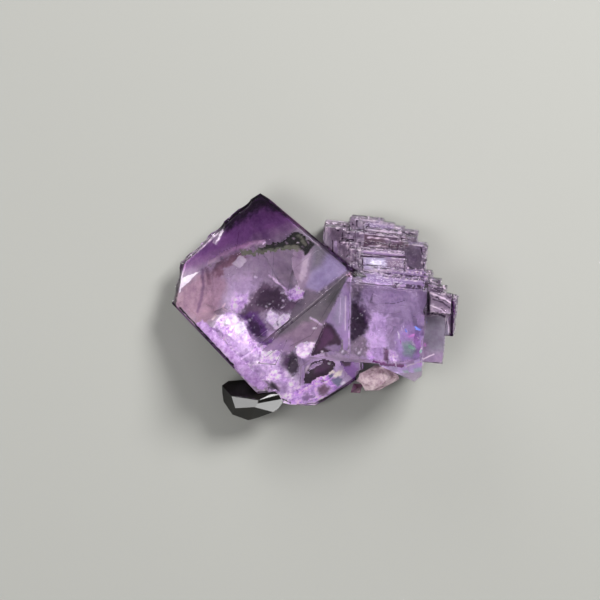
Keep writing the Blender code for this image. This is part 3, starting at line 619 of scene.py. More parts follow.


# Frosted lamellae and inclusions inside, and among them sheets of painted shade and painted glints: colour,
# radius of a line or None, soft and ragged edge, and points.
VEILS_AND_PAINTED_LIGHT = on_surface(
    (MIST, None, 3, 2, (293, 252, 300, 244, 316, 240, 351, 269, 318, 292, 301, 291, 296, 280, 292, 265)),
    (VIOLET_VEIL, None, 3, 0.6, (316, 244, 351, 270, 318, 293, 306, 288, 311, 272)),
    (GREY_VEIL, None, 5, 0.6, (314, 242, 330, 250, 322, 266, 311, 272)),
    (PALE_VEIL, None, 1.5, 1.5, (303, 254, 311, 254, 308, 270, 303, 283, 300, 280, 302, 268)),
    # painted shade: the dark seen under the ridge and in the wedge beside it, down to the peak
    (RIDGE_SHADE, None, 3, 1, (350, 270, 334, 282, 318, 293, 306, 289, 305, 298, 297, 303, 292, 311, 288, 324,
     299, 316, 312, 305, 330, 290)),
    (WEDGE_SHADE, None, 3, 1, (350, 271, 333.5, 305, 326, 320, 322, 330, 312, 335, 304, 334, 296, 338,
     282, 340, 266, 346, 276, 335, 288, 325, 300, 314.5, 312, 304, 330, 289)),
    (SHADE_VEIL, None, 6, 1, (350, 273, 335, 302, 325, 302, 330, 292)),
    (MAUVE_VEIL, None, 4, 2, (316, 322, 312, 333, 300, 334, 290, 336, 302, 322)),
    (MAUVE_VEIL, None, 3, 1.5, (326, 321, 320, 334, 316, 341, 306, 342, 297, 345, 290, 352, 280, 350,
     268, 350, 262, 349, 276, 337, 290, 330, 300, 324, 312, 320)),
    (LILAC_SKIN, None, 6, 2.5, (262, 349, 276, 340, 290, 341, 290, 352, 280, 350, 268, 350)),
    (SNOW_VEIL, None, 1, 0.9, (295, 350, 297, 344, 302, 341, 306, 343, 310, 341, 316, 342, 312, 350, 307, 357,
     301, 358.5, 297, 355)),
    (FROST_SKIN, 0.9, 0.5, 0.8, (310, 317, 316, 320, 321, 324)),
    # a painted glint
    (SNOW_SKIN, 0.9, 0.4, 0.4, (313, 327.5, 315.5, 327)),
    (DARK_VEIL, None, 1, 1, (326, 320.5, 334, 324.5, 339, 333, 343, 340, 341.5, 349, 333, 350.5, 322, 353.5,
     310, 357, 317, 341)),
    (WINE_VEIL, None, 2, 1.5, (325, 326, 331, 328, 334, 336, 326, 346, 318, 350, 322, 338)),
    (SHELF, None, 1.5, 1.6, (326, 347, 332, 344, 341, 345, 343, 351, 334, 352)),
    # a painted glint
    (SNOW_SKIN, 0.9, 0.4, 0.4, (322.5, 351, 323.5, 351.5)),
    (BEVEL_VEIL, None, 3, 1, (350.5, 272, 334, 306, 325, 320.5, 334, 324.5, 339, 333, 343, 340, 343, 349,
     348.5, 351, 349.5, 330, 350.5, 300)),
    (GLASSY, None, 5, 1.5, (342, 290, 334, 308, 331, 320, 338, 328, 344, 320, 345, 300)),
    (MIST, None, 3, 1, (351, 272, 346, 286, 350, 292)),
    (CHALK, 0.5, 0.6, 0.3, (346, 296, 345.5, 330)),
    (FROST_SKIN, 0.4, 0.5, 0.3, (341, 298, 340, 322)),
    (DARK_VEIL, None, 1, 0.8, (303, 384, 304, 368, 312, 360.5, 325, 357.5, 336, 361, 335, 369, 327, 376,
     317, 378.5, 310, 384)),
    (WINE_VEIL, None, 3, 1, (313, 366, 326, 361, 331, 366, 324, 372, 314, 373)),
    # a painted glint, and another beside it
    (CHALK, None, 0.6, 0.3, (305.5, 364.5, 311, 362.5, 308, 368, 304.5, 374)),
    (SNOW_SKIN, 0.9, 0.4, 0.4, (329, 362.5, 330, 363)),
    (ORCHID_VEIL, None, 2, 0.8, (338, 357.5, 352, 360, 373, 366.5, 362, 375, 354, 381, 347, 374, 341, 365)),
    (DARK_VEIL, None, 1.5, 0.8, (339, 358, 352, 361, 350, 366, 344, 366)),
    (BEVEL_VEIL, None, 1.5, 0.8, (352, 362, 370, 366, 360, 370)),
    (HAZE_VEIL, None, 3, 3, (204, 263, 220, 252, 236, 244, 252, 240, 266, 238, 268, 246, 250, 249, 236, 254,
     222, 260, 208, 268)),
    (ROSE_VEIL, 1, 3.5, 2, (206, 264, 222, 255, 236, 248.5, 250, 244.5, 263, 242)),
    (MOSS_VEIL, 3.2, 1.5, 3, (244, 253, 256, 253, 268, 250.5, 284, 248, 300, 247, 306, 250)),
    (COAL, None, 0.8, 2.6, (258, 249, 265, 246, 272, 243, 284, 241.5, 289, 236, 297, 230.5, 303, 234,
     311, 241, 315, 244, 310, 252, 306, 256, 300, 247, 290, 245, 284, 247, 268, 249.5)),
    (SNOW_SKIN, 0.6, 0.5, 1.2, (262, 246, 265, 242.5, 271, 239.5, 277, 240)),
    (FROST_SKIN, 0.4, 0.5, 1.6, (280, 239, 288, 234.5, 296, 229)),
    (MOSS_VEIL, 1.2, 1, 1.5, (299, 236, 303, 240, 306, 246)),
    # painted glints around the inclusion band
    (MIST, 0.5, 0.6, 1.2, (307, 240, 310, 245)),
    (MIST, 0.35, 0.6, 1.2, (294, 239, 295, 240)),
    (CHALK, 0.4, 0.5, 1, (302, 237, 302.5, 238), (298, 243, 299, 243.5)),
    (MIST, 0.35, 0.6, 1.2, (303, 247, 304, 249), (286, 243, 288, 244)),
    (MIST, 0.3, 0.5, 1, (276, 245, 277, 245), (254, 252, 256, 251)),
    (STREAK, None, 1, 1, (267, 273, 271, 274.5, 279, 281.5, 286, 287.5, 290, 291, 287, 291.5, 280, 286.5,
     272, 279)),
    (CRUST_VEIL, None, 2, 1.5, (194, 324, 203, 320, 214, 330, 268, 384, 262, 391, 247, 383, 232, 367,
     214, 348)),
    (FROST_SKIN, 1, 0.6, 2, (212, 342, 222, 350, 233, 362)),
    (PLATE_VEIL, None, 1, 0.3, (231, 264, 240, 254.5, 249, 260, 240, 269.5)),
)
# Fine marks just under the surface, in the same columns; among them are painted highlights, glints and shade
# along the edges and steps, and a painted highlight on the cluster's window.
SKIN = on_surface(
    # right window of the cluster and its shelf, with a painted highlight on its front
    (GLASSY, None, 6, 0.5, (363, 257.5, 403.5, 258, 403.5, 270, 364, 270)),
    (MIST, None, 5, 0.5, (385, 258, 403.5, 258, 403.5, 270, 386, 270)),
    (GLOW, None, 2, 0.6, (368, 259, 384, 258.5, 386, 267, 369, 267.5)),
    (GLOW_HEART, None, 1.5, 0.6, (371, 260.5, 381, 260, 382, 265.5, 372, 266)),
    (SHELF, None, 1.5, 0.6, (364, 249.5, 399, 250, 404, 256, 363, 256)),
    (INK, 0.55, 0.3, 0.4, (362, 270, 362.5, 256.5, 404, 257.2, 404.2, 270)),
    (INK, 0.5, 0.3, 0.4, (362, 248.5, 398, 249, 404.5, 255)),
    (FROST_SKIN, 0.5, 0.3, 0.6, (363, 251, 397, 251.5)),
    # lens; the CHALK and INK lines on it and on the band under it are painted highlights and shade along its
    # steps
    (LENS, None, 2, 0.6, (364, 226, 368, 219, 384, 216, 402, 218, 414, 226, 416, 235, 400, 233, 384, 231,
     372, 228)),
    # painted shade over the lens's upper right part
    (MIST, None, 4, 0.8, (398, 217, 414, 226, 416, 235, 404, 232)),
    (UMBER, None, 3, 1.6, (364, 231, 384, 233, 408, 236, 409, 247, 390, 248, 364, 246)),
    (MIST, None, 2, 1.6, (384, 236, 396, 237, 400, 243, 386, 243)),
    (INK, 0.55, 0.3, 1, (363, 226, 366, 218, 384, 215, 402, 217, 414, 226)),
    (CHALK, 0.6, 0.4, 0.7, (365, 227, 374, 230, 392, 232, 416, 236)),
    (INK, 0.7, 0.4, 1.4, (366, 234, 378, 236, 390, 237, 404, 240)),
    (CHALK, 0.5, 0.3, 1.6, (368, 237, 382, 238, 395, 241, 406, 241)),
    (INK, 0.6, 0.4, 1.8, (364, 243, 380, 242, 392, 245, 406, 246)),
    (CHALK, 0.5, 0.3, 1.6, (370, 246, 388, 246)),
    (INK, 0.8, 0.4, 0.8, (410, 226, 411, 234)),
    (INK, 0.9, 0.4, 0.8, (421, 246, 423, 258, 422, 268)),
    (CHALK, 0.6, 0.4, 0.7, (412, 240, 421, 244)),
    # etched blocks left of it; the CHALK and INK lines are painted highlights and shade along their edges
    (FROST_SKIN, None, 1, 0.6, (334, 241, 337.5, 240, 338, 254, 335, 256)),
    (INK, 0.7, 0.4, 0.5, (332.5, 240, 333, 256)),
    (INK, 0.9, 0.4, 0.8, (340, 238, 356, 239.5)),
    (INK, 0.9, 0.5, 1.2, (351, 216, 353, 224, 358, 225, 357, 218)),
    (CHALK, 0.6, 0.4, 1.2, (326, 240, 327, 223, 334, 220, 348, 220.5)),
    (CHALK, 0.6, 0.4, 1.6, (332, 226, 344, 228, 350, 231, 362, 230)),
    (INK, 0.5, 0.3, 1.6, (334, 229, 346, 232, 356, 234)),
    (CHALK, 0.6, 0.4, 1.8, (346, 244, 352, 252, 350, 262, 356, 268)),
    (INK, 0.7, 0.4, 1.8, (350, 243, 357, 250, 355, 260, 359, 266)),
    (CHALK, 0.5, 0.3, 1.8, (358, 240, 360, 250, 359, 262)),
    (INK, 0.5, 0.3, 1.2, (343, 233, 344, 246)),
    # ledge and front; the CHALK and INK lines are painted highlights along the step edges and painted shade
    # in the crevices between them
    (LEDGE, None, 3, 0.8, (361, 273.5, 392, 272, 425, 275, 424, 287, 392, 285, 361, 283)),
    (FROST_SKIN, 0.5, 0.4, 1.2, (378, 277, 392, 275, 406, 277)),
    (CHALK, 0.6, 0.4, 1.2, (360, 272, 376, 271, 392, 270.5, 426, 273)),
    (INK, 0.5, 0.3, 0.5, (361, 284, 378, 285.5, 398, 287, 415, 289)),
    (CHALK, 0.4, 0.3, 0.5, (404, 291, 412, 291.5)),
    (INK, 0.45, 0.3, 0.6, (384, 303, 392, 303.5, 403, 300.5)),
    (PALE_SKIN, None, 4, 1, (420, 336, 443, 344, 445, 362, 418, 362)),
    (SMOKE_SKIN, None, 5, 1, (422, 317, 447, 314, 449, 332, 444, 352, 429, 352, 422, 338)),
    (LEDGE_DIM, None, 4, 1.5, (428, 288, 440, 291, 455, 300, 449, 318, 436, 314, 427, 314)),
    (LEDGE_RIGHT, None, 1.5, 3, (431, 293, 440, 296, 451, 302, 451, 306, 440, 301, 431, 298),
     (429, 305, 438, 306, 447, 311, 447, 315, 438, 311, 429, 311)),
    (INK, 0.5, 0.4, 1.8, (430, 296, 441, 300, 450, 304), (430, 308, 440, 309, 447, 314)),
    (FAN_SKIN, None, 3, 3, (413, 316, 419, 312, 425, 316, 424, 326, 416, 324)),
    (INK, 1.5, 0.6, 0.8, (426, 288, 427.5, 300, 426.5, 312)),
    (INK, 0.7, 0.4, 0.7, (422, 283, 427, 289)),
    (CHALK, 0.7, 0.4, 1, (429, 281, 440, 286, 452, 297)),
    (INK, 0.6, 0.4, 0.8, (430, 287, 441, 292, 452, 301)),
    (CHALK, 0.7, 0.4, 1, (430, 293, 442, 298, 452, 305)),
    (INK, 0.6, 0.4, 0.8, (431, 299, 442, 303, 451, 310)),
    (CHALK, 0.6, 0.4, 1, (429, 305, 438, 309, 444, 313)),
    (INK, 1, 0.5, 0.8, (428, 313, 436, 313, 445, 317)),
    # painted shade along the cluster's right edge
    (GRAPE, 1.3, 0.6, 0.8, (450, 298, 454, 315, 450, 336)),
    (CHALK, 0.5, 0.3, 0.8, (447, 318, 448, 334)),
    # painted shade where the great crystal meets the cluster
    (COAL, None, 1, 0.8, (349, 271, 355, 268.5, 358, 276, 352, 278)),
    (COAL, 0.9, 0.4, 0.6, (357, 275, 365, 277)),
    (LILAC_SKIN, 2, 0.8, 1.6, (377, 361, 392, 363, 411, 361)),
    (CHALK, 0.7, 0.4, 0.5, (404, 366, 418, 361, 433, 354)),
    (CHALK, 0.6, 0.4, 0.8, (397, 331, 398.5, 338)),
    (CHALK, 0.5, 0.4, 0.8, (400, 327, 401, 331)),
    (CHALK, 0.6, 0.4, 0.8, (392, 353, 394, 362)),
    (CHALK, 0.5, 0.4, 0.8, (402, 341, 400, 347), (411, 341, 414, 346)),
    (CHALK, 0.4, 0.3, 0.8, (418, 350, 421, 347)),
    (CHALK, 0.5, 0.4, 0.8, (388, 345, 389, 350)),
    (MAGENTA, 1.6, 0.6, 1.2, (373, 361.5, 386, 364, 402, 365)),
    (BLUE_SPOT, 1.6, 1, 1.2, (414, 327, 418, 329)),
    (BLUE_SPOT, 0.9, 0.6, 1, (404, 329, 405, 331), (424, 321, 425, 322)),
    (PINK_SPOT, 1.3, 1, 1.2, (408, 336, 413, 334)),
    (PINK_SPOT, 1.2, 1, 1.2, (422, 341, 425, 345)),
    (PINK_SPOT, 0.9, 0.8, 1, (399, 340, 400, 343)),
    (GREEN_SPOT, 1.8, 1.2, 1.4, (408, 346, 412, 348)),
    (GREEN_SPOT, 1.1, 0.8, 1, (418, 352, 420, 350)),
    # painted glints
    (SNOW_SKIN, 0.7, 0.4, 0.6, (397, 332, 398, 338)),
    (SNOW_SKIN, 0.6, 0.4, 0.4, (402, 325, 402.5, 327), (416, 337, 417, 338), (394, 341, 394.5, 343)),
    (SNOW_SKIN, 0.5, 0.4, 0.4, (409, 352, 410, 353)),
    (FROST_SKIN, 0.7, 0.4, 1.5, (388, 346, 391, 356, 396, 365)),
    (INK, 0.4, 0.3, 0.5, (386, 346, 387, 362)),
    # edges of the great crystal: painted highlights and painted shade along them, painted glints, and a chip
    # near the upper-left rim
    # painted highlights along the bevel's edges and the ridge, and painted shade beside the ridge
    (BEVEL_SKIN, 0.45, 0.3, 0.2, (350.4, 276, 349.4, 352)),
    (CHALK_DIM, 0.4, 0.3, 0.2, (350, 276, 333.5, 308, 312, 355)),
    (STONE, 0.5, 0.4, 0.3, (349, 271.5, 310, 305, 266, 342)),
    (INK, 0.45, 0.4, 0.3, (348, 274.5, 310, 307.5, 280, 333)),
    # painted shade along the upper-right edge, with painted glints on it
    (COAL, 1.7, 0.5, 1.6, (263, 191, 300, 224, 348, 267)),
    (SNOW_SKIN, 0.7, 0.3, 0.4, (295, 219.5, 296.5, 220.5)),
    (SNOW_SKIN, 0.6, 0.3, 0.4, (303, 226, 304, 227)),
    (SNOW_SKIN, 0.5, 0.3, 0.4, (318, 239.5, 319, 240.5)),
    (SNOW_SKIN, 0.6, 0.3, 0.4, (333, 253, 334.5, 254), (285, 210, 286, 211)),
    # painted shade along the lower edges
    (COAL, 1.1, 0.4, 0.8, (179, 308, 233, 364.5), (318, 403.5, 349, 386, 356, 381, 371, 368)),
    (COAL, 0.8, 0.4, 0.8, (283, 400, 290, 404)),
    # a painted highlight along the upper-left rim
    (CHALK, 0.7, 0.4, 1.2, (222.5, 229, 213.5, 236, 204.5, 244.5, 194.5, 254, 185, 262.5, 182.5, 268)),
    # the chip's white loop
    (SNOW_SKIN, 1, 0.4, 1.2, (222, 230, 219.5, 235, 215, 243)),
    (CHALK, 0.6, 0.3, 1.2, (216, 233, 212, 240, 214, 243)),
    # a painted highlight at the left end
    (SNOW_SKIN, 0.9, 0.4, 0.6, (184.5, 263, 180.5, 278, 178.5, 292)),
    (SNOW_SKIN, None, 1.5, 1, (177.5, 291, 181, 277.5, 200, 270, 190, 280)),
    # painted highlights along the lower facets' edges
    (CHALK_DIM, 0.6, 0.4, 0.4, (300, 386, 301, 366, 311, 359, 325, 355.5)),
    (CHALK_DIM, 0.4, 0.3, 0.3, (325, 355.5, 338, 354, 349, 354)),
)
# Where the photo shows each face.
REGIONS = {
    "left": on_plan((259, 186, 176, 256, 160, 303, 232, 370, 352, 269)),
    "right": on_plan((352, 269, 232, 370, 250, 410, 330, 416, 385, 372, 374, 364, 310, 357)),
    "bevel": on_plan((352, 269, 310, 357, 349, 354)),
    "front": on_plan((352, 269, 349, 354, 376, 364, 400, 384, 470, 384, 470, 190, 300, 190)),
}


# ---------------------------------------------------------------- frosted parts

# How the parts glitter, that is how much of the grit of painted sparkle and shade they take on: the druse's
# frosted colours, the crusts inside, and all the others.
GLITTER = {FROST: 1.0, VIOLET_FROST: 1.0, SNOW: 0.5}
CRUSTS, CRUST_GLITTER, DULL = (CRUST_VEIL, SNOW_VEIL), 0.7, 0.15
# Ragged edges wander slowly and finely by these parts of their raggedness.
EDGE_WARP, FINE_EDGE, FINE_MARK_EDGE = 0.8, 0.7, 0.5

DRUSE_STEP = 0.1  # between the points of its mesh
BACK_SKIN, COVER = 0.10, 0.4  # fluorite under the druse and over it
LEAST_DRUSE, LEAST_COLUMN = 0.12, 0.45  # its least thickness, and the least room over its bottom
FLOOR_LEVEL, FLOOR_SINK = 1.8, 0.5  # banks under this level are sunk by this in the great crystal
FLOOR_HEIGHT, FLOOR_ROUGHNESS = 0.30, 0.2  # of the druse where it has no bank
BANK_ROUGHNESS, FINE_ROUGHNESS, FROST_ROUGHNESS = 0.12, 0.06, 0.22
RISE_ROUGHNESS = 0.5  # of the forms' rises, as a part of them
FACE_BLUR = 0.15  # half the width over which one face's view passes into the next
BANK_LAPS, SIGHT_LAPS, SIGHT_STEPS = 80, 2, 6

# Pieces of marks: their table, how deep under the surface they lie, and the step of their mesh.
MARKS = (("lamellae_and_painted_light", VEILS_AND_PAINTED_LIGHT, 0.35, 0.1), ("marks_and_painted_light", SKIN, 0.08, 0.05))
MARK_THICKNESS, MARK_BACKING = 0.03, 0.1  # of a mark, and of the fluorite that it needs under it
MARK_MARGIN = 0.4  # looked at around the marks of a table
STEEPEST = 0.3  # a mark ends where the surface rises more than this over the next point's
MARK_NOISE, MARK_SEEDS = 2.6, (11, 12, 13)
# The cluster's outlines begin here along CLUSTER_WAY and x and away from the great crystal, where
# the surface steps by this much, and have gaps where the noise is under these.
RIM_START, RIM_LEFT, RIM_AWAY, RIM_STEP = 7.9, 2, 0.1, 0.12
RIM_GAPS, FOOT_GAPS = -0.02, -0.15
MISSING = -99.0  # the surface beside the specimen


def surface_columns(body, low, high, step):
    """Plan points over the fluorite, with its lowest and highest surface and the druse's top there."""
    graph = bpy.context.evaluated_depsgraph_get()
    tree = BVHTree.FromObject(body, graph)
    druse = BVHTree.FromObject(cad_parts["frosted_druse"], graph)
    rows = []
    for i in range(int((high[0] - low[0]) / step) + 1):
        for j in range(int((high[1] - low[1]) / step) + 1):
            x, y = low[0] + i * step, low[1] + j * step
            down = tree.ray_cast(to_frame((x, y, ABOVE)), -Z_AXIS)[0]
            up = tree.ray_cast(to_frame((x, y, BELOW)), Z_AXIS)[0]
            if down is not None and up is not None:
                bank = druse.ray_cast(to_frame((x, y, ABOVE)), -Z_AXIS)[0]
                rows.append((i, j, x, y, up.z / MM, down.z / MM, bank.z / MM if bank else -1.0))
    return np.array(rows)


def frosted_slab(places, x, y, low, top, tint, shine, keep):
    """A closed layer between two heights over the kept plan points, whose grid places are given."""
    bm = bmesh.new()
    bm.verts.layers.float_color.new("tint")
    bm.verts.layers.float.new("glitter")
    layer, glitter = bm.verts.layers.float_color["tint"], bm.verts.layers.float["glitter"]
    verts = {}
    for n in np.nonzero(keep)[0]:
        pair = bm.verts.new((x[n], y[n], low[n])), bm.verts.new((x[n], y[n], top[n]))
        verts[tuple(places[n])] = pair
        for vert in pair:
            vert[layer] = (*tint[n], 1)
            vert[glitter] = shine[n]
    edges = {}
    for i, j in verts:
        corners = [(i, j), (i + 1, j), (i + 1, j + 1), (i, j + 1)]
        if any(c not in verts for c in corners):
            continue
        bm.faces.new([verts[c][1] for c in corners])
        bm.faces.new([verts[c][0] for c in reversed(corners)])
        for a, b in zip(corners, corners[1:] + corners[:1]):
            if (b, a) in edges:
                del edges[b, a]
            else:
                edges[a, b] = True
    for a, b in edges:
        bm.faces.new((verts[a][0], verts[b][0], verts[b][1], verts[a][1]))
    bmesh.ops.delete(bm, geom=[v for v in bm.verts if not v.link_faces], context="VERTS")
    return bm


def neighbours(i, j, values):
    """The values at each grid place and up to two steps away from it, by the steps."""
    grid = np.full((i.max() + 5, j.max() + 5), MISSING)
    grid[i + 2, j + 2] = values
    return {(a, b): grid[i + 2 + a, j + 2 + b] for a in range(-2, 3) for b in range(-2, 3)}


def marks_mesh(body, table, depth, step):
    """Thin frosted layers that follow the fluorite's surface, each at its depth under it.

    The marks under the surface also follow the cluster's steps, with a painted highlight along their edges
    and painted shade along their feet."""
    plan = np.array([point for mark in table for point in mark[4]])
    rows = surface_columns(body, plan.min(0) - MARK_MARGIN, plan.max(0) + MARK_MARGIN, step)
    places = rows[:, :2].astype(int)
    x, y, under, over = rows[:, 2:6].T
    around = neighbours(*places.T, over)
    lowest = np.min([around[a, b] for a in (-1, 0, 1) for b in (-1, 0, 1)], axis=0)
    fine, warp_x, warp_y = (fractal(x, y, MARK_NOISE, seed, octaves=3) for seed in MARK_SEEDS)
    covered = np.zeros(x.shape, bool)
    tint, shine = np.zeros((len(x), 3)), np.full(x.shape, DULL)
    for colour, radius, soft, ragged, points in table:
        warp = ragged * EDGE_WARP
        reach = reach_into(x + warp * warp_x, y + warp * warp_y, points, radius)
        reach = reach + ragged * fine * FINE_MARK_EDGE
        share = np.where(covered, smooth(-soft, soft, reach), reach > 0)
        tint = blend(tint, colour, share)
        shine = shine + ((CRUST_GLITTER if colour in CRUSTS else DULL) - shine) * share
        covered |= reach > 0
    if table is SKIN:
        along = CLUSTER_WAY[0] * x + CLUSTER_WAY[1] * y
        cluster = (along > RIM_START) & (x > RIM_LEFT) & (outline_distance(x, y, GREAT_PLAN) < -RIM_AWAY)
        heights = list(around.values())
        rim = cluster & (over - np.min(heights, axis=0) > RIM_STEP) & (fine > RIM_GAPS)
        foot = cluster & (np.max(heights, axis=0) - over > RIM_STEP) & (warp_x > FOOT_GAPS)
        # a painted highlight along the step edges, and painted shade at their feet
        tint[rim], tint[foot] = RIM, INK
        covered |= rim | foot
    top = lowest - depth
    keep = covered & (over - lowest < STEEPEST) & (top - MARK_THICKNESS > under + MARK_BACKING)
    return frosted_slab(places, x, y, top - MARK_THICKNESS, top, tint, shine, keep)


def inner_marks(body, material):
    for name, table, depth, step in MARKS:
        piece(name, marks_mesh(body, table, depth, step), material)


# Where specks are scattered: the face, from and to in x and in y, how many, and their seed.
SPECKS = (
    ("left", -5.2, -0.8, -2.0, 2.6, 45, 1),
    ("right", -2.0, 0.0, -7.0, -4.6, 12, 2),
    ("front", 5.4, 7.0, -4.4, 0.0, 22, 3),
)
SPECK_SIZES, SPECK_OPACITIES = (0.01, 0.05), (0.25, 0.9)
SPECK_RUN, SPECK_SOFT, SPECK_RAGGED = (0.03, 0.02), 0.05, 0.03
FACE_ORDER = ("front", "bevel", "right", "left")  # in which the strokes are laid over each other


def specks(face, x_low, x_high, y_low, y_high, count, seed):
    """White specks scattered over a part of the druse, as strokes."""
    dice = random.Random(seed)
    found = []
    for _ in range(count):
        x, y = dice.uniform(x_low, x_high), dice.uniform(y_low, y_high)
        size, opacity = dice.uniform(*SPECK_SIZES), dice.uniform(*SPECK_OPACITIES)
        ends = (x, y), (x + SPECK_RUN[0], y + SPECK_RUN[1])
        found.append((face, SNOW, opacity, size, SPECK_SOFT, SPECK_RAGGED, 0, ends))
    return found


# Forms, lines and specks on the druse.
STROKES = [
    (face, colour, opacity, None, in_mm(soft, 1), in_mm(ragged, 1), rise, on_plan(outline, 1))
    for face, forms in FORMS.items()
    for colour, opacity, soft, ragged, rise, *outlines in forms
    for outline in outlines
]
STROKES += [
    (face, colour, opacity, in_mm(radius), in_mm(soft), in_mm(ragged), 0, on_plan(points))
    for face, colour, opacity, radius, soft, ragged, *lines in LINES
    for points in lines
]
STROKES += [speck for scatter in SPECKS for speck in specks(*scatter)]
STROKES.sort(key=lambda stroke: FACE_ORDER.index(stroke[0]))


class Sight:
    """Where each point of the druse's top is seen from above through each of the faces."""

    def __init__(self, rows):
        i, j = rows[:, 0].astype(int), rows[:, 1].astype(int)
        self.px, self.py, self.over = rows[:, 2], rows[:, 3], rows[:, 5]
        self.low_x, self.low_y = self.px[0] - i[0] * DRUSE_STEP, self.py[0] - j[0] * DRUSE_STEP
        self.grid = np.full((i.max() + 1, j.max() + 1), np.nan)
        self.grid[i, j] = self.over

    def over_at(self, x, y):
        """The fluorite's highest surface at plan points, or that of the point looked for."""
        i = np.clip(((x - self.low_x) / DRUSE_STEP).round().astype(int), 0, self.grid.shape[0] - 1)
        j = np.clip(((y - self.low_y) / DRUSE_STEP).round().astype(int), 0, self.grid.shape[1] - 1)
        found = self.grid[i, j]
        return np.where(np.isnan(found), self.over, found)

    def through(self, name, top):
        """The plan points where sight lines enter a face, found in steps that close in on them."""
        shift_x, shift_y = sight_shift(FACES[name])
        ax, ay = self.px, self.py
        for _ in range(SIGHT_STEPS):
            face = self.over_at(ax, ay) if name == "front" else height_on(FACES[name], ax, ay)
            depth = face - top
            ax = (ax + self.px - shift_x * depth) / 2
            ay = (ay + self.py - shift_y * depth) / 2
        return ax, ay


def spread(rows, bank, floor):
    """Leads the druse's top smoothly down to the floor around it."""
    i, j = rows[:, 0].astype(int) + 1, rows[:, 1].astype(int) + 1
    grid = np.zeros((i.max() + 2, j.max() + 2))
    known = bank > 0
    grid[i, j] = np.where(known, bank, floor)
    for _ in range(BANK_LAPS):
        mean = sum(grid[i + a, j + b] for a in (-1, 0, 1) for b in (-1, 0, 1)) / 9
        grid[i, j] = np.where(known, bank, np.maximum(mean, floor))
    return grid[i, j]


def painted(sight, top, fine, warp_x, warp_y):
    """Tint, rise and frosting of the druse's points, from what is seen of them from above."""
    seen = {name: sight.through(name, top) for name in FACES}
    shown = {
        name: smooth(-FACE_BLUR, FACE_BLUR, outline_distance(*seen[name], REGIONS[name])) for name in FACES
    }
    # What is seen twice takes its colours from the view through the larger face.
    shown["right"] = shown["right"] * (1 - shown["left"])
    shown["bevel"] = shown["bevel"] * (1 - shown["front"])
    lift, frosted = np.zeros(top.shape), np.zeros(top.shape)
    tint = np.tile(np.array(DUSTY), (len(top), 1))
    for face, colour, opacity, radius, soft, ragged, rise, points in STROKES:
        warp = ragged * EDGE_WARP
        ax, ay = seen[face][0] + warp * warp_x, seen[face][1] + warp * warp_y
        reach = reach_into(ax, ay, points, radius) + ragged * fine * FINE_EDGE
        share = smooth(-soft, soft, reach) * opacity * shown[face]
        tint = blend(tint, colour, share)
        lift = lift * (1 - share) + rise * share
        frosted = frosted * (1 - share) + share * GLITTER.get(colour, 0)
    return tint, lift, frosted


def frosted_druse(body, material):
    """The frosted druse: its banks and the floor around them, rough, with its forms raised."""
    low, high = (Vector(corner) / MM - DRAWING_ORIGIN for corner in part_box("fluorite_crystal"))
    rows = surface_columns(body, low, high, DRUSE_STEP)
    px, py, under, over, bank = rows[:, 2:7].T
    rough, fine = fractal(px, py, scale=0.9, seed=1), fractal(px, py, scale=3.1, seed=2)
    warp_x, warp_y = (fractal(px, py, scale=1.5, seed=seed) for seed in (4, 5))
    sight = Sight(rows)
    bottom, ceiling = under + BACK_SKIN, over - COVER
    bank = spread(rows, bank, bottom + FLOOR_HEIGHT)
    sunk = FLOOR_SINK * (outline_distance(px, py, GREAT_PLAN) > 0) * (bank < FLOOR_LEVEL)
    floor = bottom + FLOOR_HEIGHT + FLOOR_ROUGHNESS * np.abs(rough)
    level = np.maximum(bank - sunk + BANK_ROUGHNESS * rough, floor) + FINE_ROUGHNESS * fine
    top = np.minimum(level, ceiling)
    for _ in range(SIGHT_LAPS):
        tint, lift, frosted = painted(sight, top, fine, warp_x, warp_y)
        grown = level + lift * (1 + RISE_ROUGHNESS * rough) + FROST_ROUGHNESS * np.abs(fine) * frosted
        top = np.maximum(np.minimum(grown, ceiling), bottom + LEAST_DRUSE)
    shine, keep = np.clip(frosted, DULL, 1), over - bottom > LEAST_COLUMN
    bm = frosted_slab(rows[:, :2].astype(int), px, py, bottom, top, tint, shine, keep)
    obj = piece("druse_surface", bm, material)
    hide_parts("frosted_druse")


# What the tints are multiplied by: everywhere, and the last two only where it glitters. The bright grains and
# clump middles are painted sparkle, and the dark grains and clump edges painted shade between the crystals.
CLOUD_SHADES = ((0.30, (0.66, 0.60, 0.70)), (0.5, (0.97, 0.97, 0.97)), (0.72, (1.25, 1.25, 1.2)))
GRAIN_SHADES = (
    (0.36, (0.50, 0.32, 0.62)),
    (0.44, (0.84, 0.70, 0.90)),
    (0.52, (1.0, 1.0, 1.0)),
    (0.62, (1.3, 1.3, 1.3)),
)
CLUMP_SHADES = ((0.2, (1.25, 1.22, 1.25)), (0.5, (1.05, 1.0, 1.08)), (0.8, (0.74, 0.55, 0.85)))


def druse_material():
    """The points' tints, clouded, and gritty where they glitter, with painted sparkle and shade."""
    shader = Shader("druse_surface")
    coords = shader.coords()
    grain = shader.noise(coords, scale=2200, detail=6.0, roughness=0.7)
    cloud = shader.noise(coords, scale=500, detail=6.0, roughness=0.65)
    clumps = shader.cells(coords, 1300, "EUCLIDEAN")
    colour = shader.mix(1.0, shader.attribute("tint", "Color"), shader.ramp(cloud, CLOUD_SHADES), "MULTIPLY")
    grit = shader.mix(1.0, colour, shader.ramp(grain, GRAIN_SHADES), "MULTIPLY")
    grit = shader.mix(1.0, grit, shader.ramp(clumps, CLUMP_SHADES), "MULTIPLY")
    colour = shader.mix(shader.attribute("glitter", "Fac"), colour, grit)
    colour.node.clamp_result = True
    shader.surface("Base Color", colour)
    shader.surface("Roughness", 0.35)
    shader.surface("Specular IOR Level", 0.08)  # fluorite lies on it, not air
    shader.bump(grain, 0.7, 0.15 * MM)
    return shader.material


# ---------------------------------------------------------------- seated crystals


